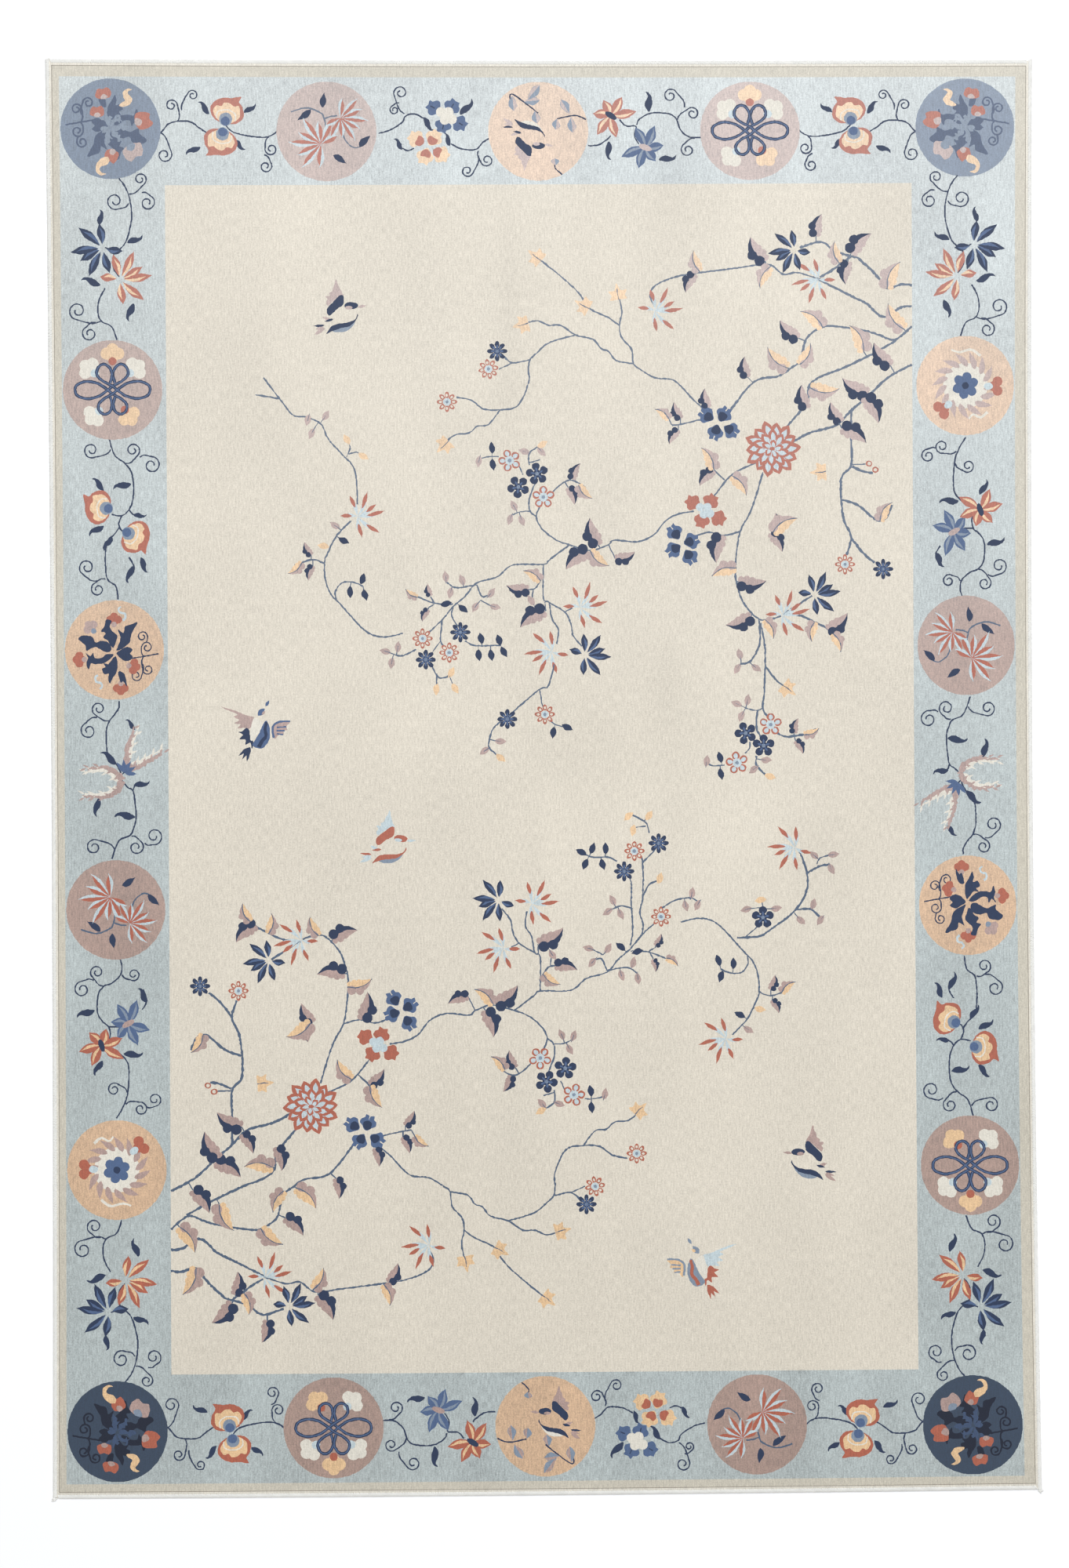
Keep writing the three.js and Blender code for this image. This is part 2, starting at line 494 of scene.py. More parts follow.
def pomegranate(pen):
    """Split fruit with its heart at the start, opening along x, its point to the right."""
    pen.shape("rust", [
        0 + 7j, 5 + 17j, 14 + 22j, 24 + 19j, 31 + 9j, 33 - 2j, 37 - 14j, 30 - 12j, 24 - 18j,
        13 - 22j, 4 - 17j, 0 - 8j,
    ])
    pen.shape("peach", [
        1 + 6j, 6 + 14j, 13 + 18j, 20 + 15j, 20 + 9j, 25 + 6j, 26 - 1j, 23 - 7j, 25 - 13j, 18 - 16j,
        11 - 17j, 5 - 12j, 1 - 6j,
    ])
    pen.line("white", [4 + 12j, 12 + 12j, 16 + 5j, 17 - 3j, 13 - 11j, 5 - 12j], 2.6, (0.6, 0.6))
    pen.fill("grey", disc(8.4, 5 + 0j))
    pen.fill("slate", disc(5.8, 2.5 + 0j))


STAR_TIPS = (33 + 2j, 17 + 23j, -7 + 21j, -23 + 5j, -20 - 23j, 4 - 29j)


def star_flower(pen, kind):
    """Flower of six long pointed petals in two tones."""
    outer, inner, heart = {"rust": ("rust", "peach", "navy"), "blue": ("slate", "grey", "mauve")}[kind]
    for tip in STAR_TIPS:
        petal = pen.toward(0j, tip)
        petal.fill(outer, blade(abs(tip), 12.5, 0.1, 0.55))
        petal.fill(inner, blade(0.9 * abs(tip), 9.5, 0.1, 0.55, (-0.1, 0.85)))
    pen.part(0j, -32).fill(heart, disc(3.8, 0j, 2.3))


THISTLE_ARMS = {
    "curled": ((0j, 5 + 11j, 20 + 20j, 46 + 20j), (0j, 6 - 8j, 22 - 17j, 44 - 15j)),
    "open": ((0j, 10 + 9j, 24 + 17j, 43 + 23j), (0j, 10 - 9j, 24 - 16j, 42 - 23j)),
}


def thistle(pen, kind):
    """Plume that opens along x into two jagged arms."""
    for k, arm in enumerate(THISTLE_ARMS[kind]):
        inwards = -1j if k == 0 else 1j
        pale = [point + 3.6 * inwards + 2.5 for point in arm]
        pen.line("mauve", arm, 8.5, (1.1, 0.35), 0.35)
        pen.line("white", pale[1:], 5.0, (1.1, 0.3), 0.35)
        for i, point in enumerate(curve(pale, step=6.0)[1:]):
            heading = 24 * (1 if i % 2 else -1)
            pen.part(point, heading).fill("white", blade(10, 2.8, 0.0))
            pen.part(point - 5 * inwards, -heading).fill("mauve", blade(9, 2.6, 0.0))
    if kind == "open":
        for angle in (-64, -30, 4, 36, 70):
            pen.part(-7 + 0j, angle).fill("slate", blade(17, 5.6, 0.08))


# Roundels


def blossom(pen, petal, base, size=1.0):
    """Small three-lobed bloom facing along x."""
    for centre, radius in ((7 + 5j, 5.2), (7 - 5j, 5.2), (11 + 0j, 5.0), (4 + 0j, 5.0)):
        pen.fill(petal, disc(radius * size, centre * size))
    pen.fill(base, disc(3.6 * size, 0.5 * size + 0j))


def curl(pen, yarn):
    """Small cloud curl."""
    pen.line(yarn, [-9 - 7j, -3 - 9j, 3 - 4j, 1 + 4j, 5 + 10j, 11 + 8j], 6.5, (0.7, 0.5))


PINWHEEL = (
    (1 + 6j, 6 + 12j, 14 + 17j, 24 + 18j, 30 + 17j, 33 + 25j, 36 + 17j, 34 + 10j, 37 + 3j, 31 + 8j,
     27 + 3j, 25 + 10j, 17 + 10j, 9 + 5j),
    (-2 + 8j, -4 + 18j, -3 + 28j, 2 + 36j, 6 + 43j, 8 + 36j, 7 + 30j, 13 + 31j, 16 + 24j, 11 + 22j,
     14 + 17j, 8 + 18j, 3 + 12j),
    (-10 + 28j, -14 + 34j, -16 + 47j, -11 + 40j, -8 + 42j, -6 + 36j, -5 + 28j),
    (-3 + 4j, -10 + 12j, -18 + 14j, -24 + 9j, -20 + 4j, -24 + 0j, -17 - 4j, -10 - 1j),
    (-3 + 1j, -12 - 3j, -20 - 10j, -22 - 20j, -30 - 35j, -22 - 33j, -14 - 30j, -12 - 22j, -5 - 26j,
     -8 - 16j, -6 - 8j),
    (1 - 3j, -2 - 10j, -4 - 18j, 2 - 24j, 6 - 30j, 3 - 37j, 10 - 39j, 13 - 30j, 17 - 24j, 11 - 22j,
     14 - 16j, 8 - 12j, 5 - 6j),
    (4 + 1j, 10 + 3j, 18 - 1j, 24 - 4j, 30 - 2j, 36 + 1j, 37 - 6j, 46 - 14j, 40 - 19j, 28 - 17j,
     24 - 10j, 16 - 12j, 8 - 10j, 4 - 5j),
)


def pinwheel(pen, yarn):
    for outline in PINWHEEL:
        pen.shape(yarn, outline)


def scrolls(pen, yarn, width):
    """Forked tendril with four coils, running out along -x."""
    pen.line(yarn, [-22 + 11j, -34 + 9j, -46 + 7j, -57 + 5j], width)
    for start, centre, radius in (
        (-38 + 8j, -43 + 25j, 7.0), (-36 + 18j, -28 + 33j, -7.0),
        (-38 + 8j, -42 - 3j, -7.5), (-40 - 9j, -36 - 17j, 7.0),
    ):
        pen.stroke(yarn, coil(start, centre, radius), width)


def lotus_roundel(pen):
    scrolls(pen, "navy", 1.6)
    for place, heading, petal, base in (
        (-8 + 42j, 90, "rust", "mauve"), (38 + 12j, 0, "rust", "mauve"), (-18 + 20j, 170, "rust", "mauve"),
        (0 - 32j, 270, "rust", "mauve"), (26 - 24j, 310, "mauve", "grey"),
    ):
        blossom(pen.part(place, heading), petal, base)
    curl(pen.part(20 + 40j, 60, 0.7), "ice")
    curl(pen.part(-10 - 46j, 240, 0.7), "ice")
    pinwheel(pen, "navy")


CAP = (
    -0.5 - 0.3j, -0.46 + 0.12j, -0.28 + 0.46j, 0 + 0.36j, 0.3 + 0.5j, 0.5 + 0.14j, 0.46 - 0.34j,
    0.1 - 0.5j, -0.24 - 0.46j,
)
CAP_BASE = (-0.24 - 0.4j, -0.1 - 0.14j, 0.08 - 0.1j, 0.26 - 0.32j, 0.1 - 0.54j, -0.16 - 0.5j)
CORNER_CAPS = (  # place, heading, width, height, petal, base
    (-9 + 45j, 8, 20, 14, "rust", "mauve"),
    (-17 + 22j, 0, 18, 14, "rust", "mauve"),
    (42 + 11j, -75, 22, 22, "rust", "mauve"),
    (1 - 35j, 165, 17, 18, "rust", "mauve"),
    (29 - 29j, 205, 26, 20, "mauve", "grey"),
)
SWELLING_CURL = (
    28 + 50j, 22 + 51j, 16 + 46j, 17 + 40j, 19 + 36j, 14 + 33j, 11 + 29j, 17 + 28j, 24 + 30j, 28 + 36j,
    25 + 42j, 22 + 46j, 24 + 48j,
)
HOOKED_CURL = (
    -3 - 36j, -9 - 36j, -15 - 40j, -19 - 47j, -18 - 55j, -12 - 59j, -6 - 57j, -11 - 56j, -14 - 52j,
    -13 - 48j, -6 - 46j, -2 - 42j,
)


def cap(pen, petal, base, width, height):
    """Squat lobed bloom, its base downwards."""
    for yarn, outline in ((petal, CAP), (base, CAP_BASE)):
        pen.shape(yarn, [complex(point.real * width, point.imag * height) for point in outline])


def corner_roundel(pen, wheel, inner):
    scrolls(pen, wheel, 2.2)
    pinwheel(pen, wheel)
    pinwheel(pen.part(0j, 24, 0.5), inner)
    for place, heading, width, height, petal, base in CORNER_CAPS:
        cap(pen.part(place, heading), petal, base, width, height)
    pen.shape("peach", SWELLING_CURL)
    pen.shape("peach", HOOKED_CURL)


# The far-end corners are drawn in paler copies of the near-end yarns (dusk for indigo, shade for ink, grey
# for shade): painted sheen that lightens the far end
def pale_corner(pen):
    corner_roundel(pen, "shade", "grey")


def dark_corner(pen):
    corner_roundel(pen, "ink", "shade")


KNOT_STRAND = (
    3 + 9j, 0.5 + 20j, 4 + 29j, 11 + 33j, 18 + 29j, 20 + 20j, 13 + 12j, 0 + 5j, -6 + 0j, -18 - 8j,
    -33 - 11j, -46 - 6j, -47 + 5j, -34 + 11j, -18 + 8j, -6 + 0j, 0 - 5j, 12 - 12j, 18 - 19j, 17 - 27j,
    10 - 31j, 3 - 27j, 1 - 18j, 3 - 9j,
)


def knot_roundel(pen):
    """Endless knot of six loops among five blooms."""
    for place, heading, petal, base in (
        (0 + 36j, 90, "peach", "rust"), (-22 + 21j, 140, "white", "ice"), (22 + 21j, 40, "white", "ice"),
        (-17 - 26j, 225, "white", "ice"), (15 - 25j, 305, "peach", "rust"),
    ):
        blossom(pen.part(place, heading, 1.5), petal, base)
    for mirrored in (False, True):
        ring = pen.part(0j, 180, 1.0, True) if mirrored else pen
        ring.line("navy", KNOT_STRAND, 4.0)
        ring.line("slate", KNOT_STRAND, 1.5)


def aster_roundel(pen):
    """Blue flower inside a ring of slanted flames, with blooms and curls."""
    pen.line("white", [-29 + 34j, -20 + 41j, -10 + 37j, -4 + 43j], 4.6, (0.8, 0.5))
    pen.line("white", [-20 - 38j, -8 - 46j, 8 - 43j, 18 - 46j], 4.6, (0.8, 0.5))
    pen.fill("white", disc(29.0))
    for k in range(15):
        angle = 360 * k / 15
        flame = pen.part(cmath.rect(24.0, math.radians(angle)), angle + 32)
        flame.fill("mauve", blade(23, 8.4, 0.3, 0.42))
    for place, heading in ((23 + 25j, 38), (-31 + 1j, 180)):
        bloom = pen.part(place, heading)
        for centre in (11 + 6j, 11 - 6j, 6 + 0j):
            bloom.fill("rust", disc(6.6, centre))
        bloom.fill("ice", disc(4.6, -1 + 0j, 1.3))
    for k in range(6):
        pen.part(0j, 60 * k + 20).fill("slate", disc(6.2, 10.5 + 0j, 1.1))
    pen.fill("slate", disc(9.0))
    pen.fill("navy", disc(4.6))


FROND_PETALS = (
    (338, 20), (300, 27), (268, 24), (240, 33), (212, 27), (188, 34), (160, 28), (134, 32), (98, 25),
)


def frond_fan(pen, size):
    """Spread of narrow fronds, half rust and half pale, facing along -x."""
    for angle, length in FROND_PETALS:
        frond = pen.part(0j, angle)
        frond.fill("ice", blade(1.24 * length * size, 8.6 * size, 0.1, 0.62, (0.3, 1.0)))
        frond.fill("rust", blade(1.16 * length * size, 9.0 * size, 0.1, 0.58, (1.0, 0.12)))


def frond_roundel(pen):
    """Two fans of fronds on joined stems with curled leaves."""
    pen.line("stem", [-5.5 + 15.6j, 0 + 3j, -3 - 17j, -8 - 24j, -25 - 30j, -45 - 25j], 2.0)
    pen.line("stem", [-3 - 16j, 5 - 19j, 14 - 20j], 2.0)
    pen.line("stem", [20 + 0.5j, 25 + 13j, 36 + 21j, 46 + 18j], 1.8)
    for base, tip in (
        (42 + 20j, 52 + 3j), (-20 - 28j, -33 - 11j), (-4 - 30j, -7 - 49j), (8 + 31j, 27 + 37j),
    ):
        pen.toward(base, tip).fill("navy", blade(abs(tip - base), 8.5, 0.25))
    frond_fan(pen.part(-7 + 16j, -10), 1.0)
    frond_fan(pen.part(18 - 17j, 172), 0.86)


def bird_roundel(pen):
    """Swooping bird among three leafy twigs."""
    twigs = (
        ([-30 + 56j, -21 + 47j, -23 + 40j], [(-22 + 44j, -22 + 35j)]),
        ([-61 - 15j, -47 - 20j, -24 - 16j],
         [(-42 - 18j, -42 + 2j), (-24 - 16j, -21 - 2j), (-40 - 22j, -31 - 42j)]),
        ([0 - 23j, 12 - 33j, 34 - 48j, 35 - 36j],
         [(4 - 26j, 3 - 10j), (33 - 46j, 33 - 26j), (18 - 38j, -2 - 38j), (14 - 40j, -4 - 58j)]),
    )
    for line, leaves in twigs:
        pen.line("navy", line, 1.8)
        for base, tip in leaves:
            leaf = pen.toward(base, tip)
            length = abs(tip - base)
            leaf.fill("grey", blade(length, 11.0, 0.1, 0.6))
            leaf.fill("mauve", blade(length, 11.0, 0.1, 0.6, (0.9, -0.1)))
    swooping_bird(pen.part(13 + 16j, 0, 0.95), "navy", "mauve", "white", "mauve")


ROUNDELS = {
    "pale corner": ("dusk", pale_corner),
    "dark corner": ("indigo", dark_corner),
    "fronds": ("pink", frond_roundel),
    "birds": ("gold", bird_roundel),
    "knot": ("pink", knot_roundel),
    "lotus": ("gold", lotus_roundel),
    "aster": ("gold", aster_roundel),
}


def roundel(pen, name, x, y, heading=0.0, flip=False):
    """One roundel, its middle given in millimetres from the middle of the pattern."""
    ground, motif = ROUNDELS[name]
    own = pen.part(complex(x, y) / KNOT, heading, 1.0, flip)
    own.fill(ground, disc(ROUNDEL_RADIUS / KNOT))
    motif(own)


# Border scrolls in photo pixels: vines, coils, leaves, and flowers as (motif, place, heading)

BORDER_RUNS = {
    "top first": {
        "vines": (
            "200,171 205,167 214,157 228,154 242,155 253,163 266,171",
            "284,156 293,166 308,171 332,174 345,171 354,164",
        ),
        "coils": (
            "225,154>217,134:7.7 230,140>244,121:-6.8 202,168>208,197:-9.6 "
            "341,173>344,189:8.2 335,196>337,211:-8.2"
        ),
        "leaves": "265,145>254,128 309,143>325,134 254,187>235,193 296,177>309,191",
    },
    "top second": {
        "vines": (
            "481,168 495,164 511,154 515,146 527,143 539,149",
            "573,181 585,187 599,189 607,187 614,179 624,173",
            "526,187 518,190 511,187", "585,143 590,136 594,131",
        ),
        "coils": "514,143>509,116:-9 507,129>501,138:6 608,190>619,202:8.2 608,196>594,216:-7.7",
        "leaves": "538,147>548,165 585,144>602,127 511,189>503,174 572,184>567,167",
    },
    "top third": {
        "vines": (
            "748,183 761,182 772,175 777,170", "788,149 796,157 809,158 807,170 813,181",
            "810,156 813,149 824,142 837,140 853,142 861,149 865,161 876,171 892,172",
        ),
        "coils": "871,133>853,118:9 862,149>881,141:-8.2 884,173>875,188:8.8",
        "leaves": "826,139>826,114 774,177>773,200 838,201>860,199",
    },
    "left first": {
        "vines": (
            "149,226 158,238 164,255 166,277 162,298 156,312 145,320 132,315",
            "145,320 142,330 143,342 150,352",
            "132,367 124,383 123,400 128,410 140,416 147,433",
        ),
        "coils": (
            "163,247>177,228:8.2 179,245>186,258:-10 162,259>145,256:-11 126,409>97,396:-11.5 "
            "120,411>112,425:9.9"
        ),
        "leaves": "125,287>129,268 160,309>180,303 126,363>104,353 168,386>159,407",
    },
    "left second": {
        "vines": (
            "137,560 140,571 145,582 157,591 165,602 168,618 167,637 162,650 153,658 140,656",
            "162,650 167,656 176,659", "153,658 149,668 152,676 158,679",
            "150,672 143,682 135,689 132,703 132,725 135,740 145,748 148,765", "162,711 168,721 168,730",
        ),
        "coils": (
            "139,573>114,574:-10 158,591>167,574:9.3 176,583>191,593:-11 121,741>108,724:-10.4 "
            "132,739>122,752:9"
        ),
        "leaves": (
            "130,626>118,609 165,617>142,620 167,657>184,659 130,671>110,680 141,685>128,700 "
            "167,722>158,742 177,711>183,731"
        ),
    },
    "left third": {
        "vines": (
            "149,895 149,903 143,913 137,920 133,932 133,951 135,962 145,975 151,986 152,995 160,1005 "
            "167,1010 170,1028 171,1045 168,1058 163,1067 151,1072 145,1082 140,1097",
            "152,990 158,984", "167,1010 170,1003 178,1001",
        ),
        "coils": (
            "137,920>123,905:-9 121,916>110,933:10.4 143,1084>117,1082:10 165,1068>171,1082:-10 "
            "182,1077>194,1068:11"
        ),
        "leaves": "170,932>160,918 146,976>129,959 168,1003>188,1001 123,1019>117,1041 170,1043>145,1039",
    },
    "left fourth": {
        "vines": (
            "150,1224 153,1234 151,1246 140,1256 130,1260 123,1269 121,1286 123,1298 129,1306 136,1312 "
            "138,1323 135,1330",
            "136,1312 151,1312", "150,1346 160,1357 162,1375 160,1400 154,1416 146,1429",
            "179,1290 185,1278 180,1264",
        ),
        "coils": (
            "130,1260>121,1242:-8.8 117,1253>102,1264:10.4 153,1245>168,1245:8.2 160,1396>143,1392:8.5 "
            "184,1414>195,1405:8.8 158,1411>177,1417:-8.8"
        ),
        "leaves": "184,1281>177,1262 118,1291>95,1296 155,1347>179,1349 128,1355>116,1372",
    },
}

BORDER_FLOWERS = (
    ("pomegranate", "285,156", 78), ("pomegranate", "283,165", 256),
    ("border", "567,145", 0), ("yellow", "544,185", 0),
    ("rust star", "777,144", 0), ("blue star", "821,185", 192),
    ("navy fan", "129,316", 0), ("orange fan", "151,356", 180),
    ("pomegranate", "138,649", 172), ("pomegranate", "157,678", -28),
    ("open thistle", "160,981", 52), ("curled thistle", "153,997", 180),
    ("blue star", "161,1308", 60), ("rust star", "127,1336", -40),
)


def border_flower(pen, kind):
    if kind == "pomegranate":
        pomegranate(pen)
    elif kind in ("border", "yellow"):
        four_petal(pen, kind)
    elif kind.endswith("star"):
        star_flower(pen, kind.split()[0])
    elif kind == "navy fan":
        lance_fan(pen, size=1.2)
    elif kind == "orange fan":
        lance_fan(pen, "rust", "peach", 1.2)
    else:
        thistle(pen, kind.split()[0])


def border_run(pen, run):
    """One gap between roundels: vines, coils as start>centre:radius and dark leaves as base>tip."""
    for vine in run["vines"]:
        pen.line("navy", pixels(vine), VINE_WIDTH, rough=VINE_ROUGH)
    for entry in run["coils"].split():
        ends, radius = entry.split(":")
        start, centre = pixels(ends.replace(">", " "))
        pen.stroke("navy", coil(start, centre, float(radius)), COIL_WIDTH)
    for entry in run["leaves"].split():
        base, tip = pixels(entry.replace(">", " "))
        hooked_leaf(pen.toward(base, tip), abs(tip - base))


TOP_ROW = 500.0  # knots above the middle, past which a flower is in the top row
SIDE_ROUNDELS = ((0.6, "knot", 0), (0.2, "lotus", 180), (-0.2, "fronds", 0), (-0.6, "aster", 0))


def half_border(pen, corner):
    """Top row and left column. Turned half round, they are also the bottom row and right column."""
    across = pen.part(0j, 180, 1.0, True)
    down = pen.part(0j, 0, 1.0, True)
    for run in BORDER_RUNS.values():
        border_run(pen, run)
    border_run(across, BORDER_RUNS["top first"])
    border_run(down, BORDER_RUNS["left first"])
    for kind, place, heading in BORDER_FLOWERS:
        spot = pixels(place)[0]
        copies = [pen]
        if kind == "pomegranate" and spot.imag > TOP_ROW:
            copies.append(across)
        if kind.endswith("fan"):
            copies.append(down)
        for own in copies:
            border_flower(own.part(spot, heading), kind)
    row = ROUNDEL_END - ROW_DIP
    roundel(pen, corner, -ROUNDEL_SIDE, ROUNDEL_END)
    roundel(pen, corner, ROUNDEL_SIDE, ROUNDEL_END, 180, True)
    roundel(pen, "fronds", -ROW_STEP, row, 0, True)
    roundel(pen, "birds", 0.0, row, 180)
    roundel(pen, "knot", ROW_STEP, row)
    for share, name, heading in SIDE_ROUNDELS:
        roundel(pen, name, -ROUNDEL_SIDE, share * ROUNDEL_END, heading)


# Field sprays in photo pixels. The lower spray is the upper one turned half round.

SPRAY_STEMS = (
    "1162,362 1148,361 1131,366 1120,354 1110,343 1100,334 1092,327 1084,325 1062,318 1050,308 1039,307 "
    "1018,314",
    "1084,325 1070,335 1056,345 1044,352",
    "1039,353 1058,363 1086,377 1104,386 1112,394 1122,402 1134,402 1142,394 1150,390 1162,389",
    "1039,353 1015,346 997,348 981,336 965,336 946,339 900,345 862,351 835,362 827,375 833,390",
    "1162,415 1140,432 1120,426 1103,421 1064,415 1047,416 1027,430 1019,458 1005,470 991,479 960,486 "
    "930,522",
    "1142,433 1112,450 1070,470 1044,480 1030,492 1027,512 1005,540 990,556",
    "1162,464 1131,481 1105,505 1084,523 1064,542 1030,552 1005,566",
    "1084,523 1084,560 1084,593 1072,608 1071,636 1075,664 1084,686 1078,708",
    "1084,686 1098,704 1114,718",
    "1084,592 1098,592 1106,591", "1085,595 1100,601 1112,603",
    "1072,637 1092,644 1108,657 1119,664 1129,660 1136,644",
    "962,590 932,605 910,631 901,645",
    "971,602 963,630 954,655 942,678 937,708 936,735 940,753 948,772 966,790 982,790 994,786",
    "942,678 921,683 902,679 885,684",
    "997,784 1014,773 1034,760", "997,784 1020,786 1039,795 1056,804 1070,822",
    "898,523 881,508 858,485 833,481 814,470 806,463 803,444 791,430 788,414 791,395 785,367",
    "788,414 774,404 751,393 741,379 730,366 706,345 677,322",
    "806,463 784,459 774,447 765,444 754,432 732,426 713,414 698,414 682,408 661,414",
    "732,426 699,436 684,448 674,458 672,470 672,488 658,517 636,522 615,521 599,510 580,506",
    "674,458 652,462 640,453", "652,462 634,470",
    "636,522 621,541 607,543 596,552 577,555 562,570",
    "894,534 869,540 855,542", "883,652 862,656 846,665 832,682 811,691 781,689 774,695 751,702 724,695",
    "724,695 706,688 689,674 682,659 687,645", "682,659 674,652 673,637 681,615", "674,652 660,653 650,658",
    "659,592 665,605", "673,593 673,578 685,569", "673,590 687,586", "634,582 623,582 609,585",
    "702,628 714,617 727,612 745,622",
    "724,695 699,714 691,720 652,721 632,736 606,744 591,761 576,774 562,791 545,807",
    "606,746 580,750 567,742", "606,746 613,761 624,758", "611,766 624,773",
    "576,771 554,770 529,761", "552,770 547,761", "552,771 544,776",
    "512,808 487,813 464,805 433,772 420,758 413,739 412,717 416,706 427,684 446,664",
    "412,719 397,714 374,721", "427,765 426,755 434,744 448,743 461,748",
    "691,720 691,763 698,769 702,790 710,803 708,822", "698,769 718,781 726,796 729,811 740,825",
    "718,781 728,776", "691,733 681,750 667,752", "693,768 694,780", "678,752 676,768",
)

SPRAY_LEAVES = {
    "navy": (
        "1039,299>1046,272L 1084,321>1109,297L 974,331>956,301L 1080,332>1077,360R 884,348>873,371R "
        "1016,430>994,408L 1134,465>1114,437L 951,480>948,455L 901,519>897,496L 1027,520>1021,491L "
        "1105,501>1074,482L 1071,537>1058,513L 1102,506>1119,540L 1072,546>1102,564L 908,600>891,619R "
        "983,678>987,655R 981,680>995,703L 918,683>912,717R 940,742>974,741R 956,786>925,797L "
        "1054,804>1078,783R 866,533>858,513L 863,548>852,566R 761,695>751,662L 748,703>721,726R "
        "783,713>807,704R 728,611>738,592L 723,622>730,643L 693,780>663,800R 672,752>645,747L "
        "395,708>387,692L 397,722>392,740R 547,760>544,745L 544,778>537,793R"
    ),
    "peach": (
        "1068,333>1063,307L 1130,366>1152,322L 980,339>968,365R 890,344>883,319L 1151,418>1131,385L "
        "1047,416>1020,397R 1100,447>1079,409R 1018,464>1031,438R 1002,468>978,443L 1032,494>1067,495R "
        "1121,664>1136,642L 932,607>949,631L 908,598>893,572R 984,679>1014,662L 936,725>907,735R "
        "974,791>984,814L 1037,794>1034,818R 1061,809>1070,831L 851,534>834,522R 751,703>774,721R "
        "736,619>753,635R 687,741>666,729R 383,718>366,731L 530,762>516,752L"
    ),
}

SPRAY_LEAFLETS = {
    "mauve": (
        "654,645 648,662 663,664 667,575 688,576 608,588 567,736 572,756 588,740 625,757 604,774 629,775 "
        "676,766 426,670"
    ),
    "navy": "626,571 626,592 567,771 588,777 444,755 461,739 463,759 436,690",
    "peach": "690,567 411,696",
}

SPRAY_MAPLES = (
    "790,395>785,367", "700,340>677,322", "760,398>738,386", "682,408>660,414", "577,555>562,570",
    "1062,600>1040,602",
)

SPRAY_FLOWERS = (
    ("chrysanthemum", "983,572", 0),
    ("blue", "914,539", 0), ("tall blue", "868,694", 0), ("rust", "897,651", 0),
    ("rust fan", "1042,354", 0), ("rust fan", "833,395", 172), ("rust fan", "996,785", 180),
    ("rust fan", "702,832", -8), ("rust fan", "738,775", 180), ("rust fan", "454,659", 180),
    ("navy fan", "1011,317", 0), ("navy fan", "1037,759", 180), ("navy fan", "744,836", 168),
    ("outline8", "1076,720", 0), ("navy8", "1125,726", 0),
    ("outline5", "691,634", 0), ("navy5", "659,621", 30), ("navy5", "683,604", 10),
    ("outline5", "648,587", 20), ("outline8", "537,815", 0), ("navy8", "632,447", 0),
    ("outline8", "621,470", 10), ("outline8", "568,512", 0),
)

UPPER_STEMS = (
    "966,790 967,820 956,843 942,848", "968,795 973,821 974,843 973,880 971,904 978,916",
    "974,850 988,868 1006,882", "971,904 962,907 949,904", "964,907 963,930 970,943",
    "954,947 954,955 948,962",
    "963,965 963,977 974,989", "922,977 907,978 898,973", "985,933 997,940 1009,940 1030,936 1039,930",
    "454,643 452,607 446,591 439,584 417,560 408,541 391,532 372,529 357,511 334,481", "354,508 324,503",
    "440,583 445,571", "442,579 453,576", "705,848 697,876 686,880 652,909 628,929 622,946 622,955 634,966",
    "686,880 690,902", "700,920 706,925 722,929", "576,774 574,786 582,800", "562,791 560,818 566,826",
    "560,818 550,832", "591,818 604,824 624,824 637,824", "529,829 511,837 500,835",
    "549,850 558,865 571,863", "555,860 555,876",
)
UPPER_LEAVES = {
    "navy": "1011,936>1016,918L 1013,946>1022,962L",
    "peach": "1024,938>1042,930R",
}
UPPER_LEAFLETS = {
    "mauve": (
        "942,835 938,853 962,853 938,898 952,894 943,914 975,971 959,982 900,972 414,530 390,535 395,552 "
        "636,947 616,958 490,831 506,826 497,846"
    ),
    "navy": "917,967 917,988 703,935 721,929 612,815 635,817 608,836 624,836 640,832",
    "peach": "980,992 441,560 461,582 636,968 574,859 578,879 554,880",
}
UPPER_MAPLES = ("988,868>1006,882",)
UPPER_FLOWERS = (
    ("outline5", "981,925", 0), ("navy5", "949,936", 20), ("navy5", "972,952", 0),
    ("outline5", "938,974", 10), ("navy8", "645,918", 0), ("outline8", "693,912", 0),
    ("navy8", "585,807", 0), ("outline8", "571,833", 0), ("navy8", "541,842", 0),
)

LOWER_STEMS = (
    "802,1208 805,1187 803,1154 803,1127 796,1114", "785,1100 774,1095 755,1095 744,1091",
    "805,1161 791,1157 777,1162", "817,1193 818,1179 814,1165 818,1143 817,1099 808,1088",
    "817,1102 831,1088 838,1078",
    "826,1064 821,1050 802,1040", "822,1055 806,1057", "819,1143 826,1130 839,1124",
    "842,1160 859,1150 879,1147 890,1154",
    "938,1198 966,1196 983,1186 1013,1162 1027,1137 1027,1113 1018,1088",
    "1028,1115 1042,1107 1056,1104", "1040,1104 1044,1096 1058,1092", "1013,1162 1033,1162 1046,1175",
    "966,1182 948,1198", "971,1161 970,1149",
)
LOWER_LEAFLETS = {
    "mauve": (
        "780,1150 773,1164 789,1168 881,1141 872,1157 887,1156 1037,1092 1061,1092 1058,1110 1019,1176 "
        "1036,1155 1044,1175 950,1161 988,1161"
    ),
    "navy": "740,1088 754,1084 771,1084 744,1103 766,1104",
    "peach": "799,1042 826,1042 805,1060 840,1122 968,1149",
}
LOWER_FLOWERS = (
    ("navy8", "794,1113", 0), ("outline8", "807,1087", 0), ("navy8", "838,1077", 0),
    ("navy5", "971,1172", 0), ("rust fan", "1012,1083", -15),
)

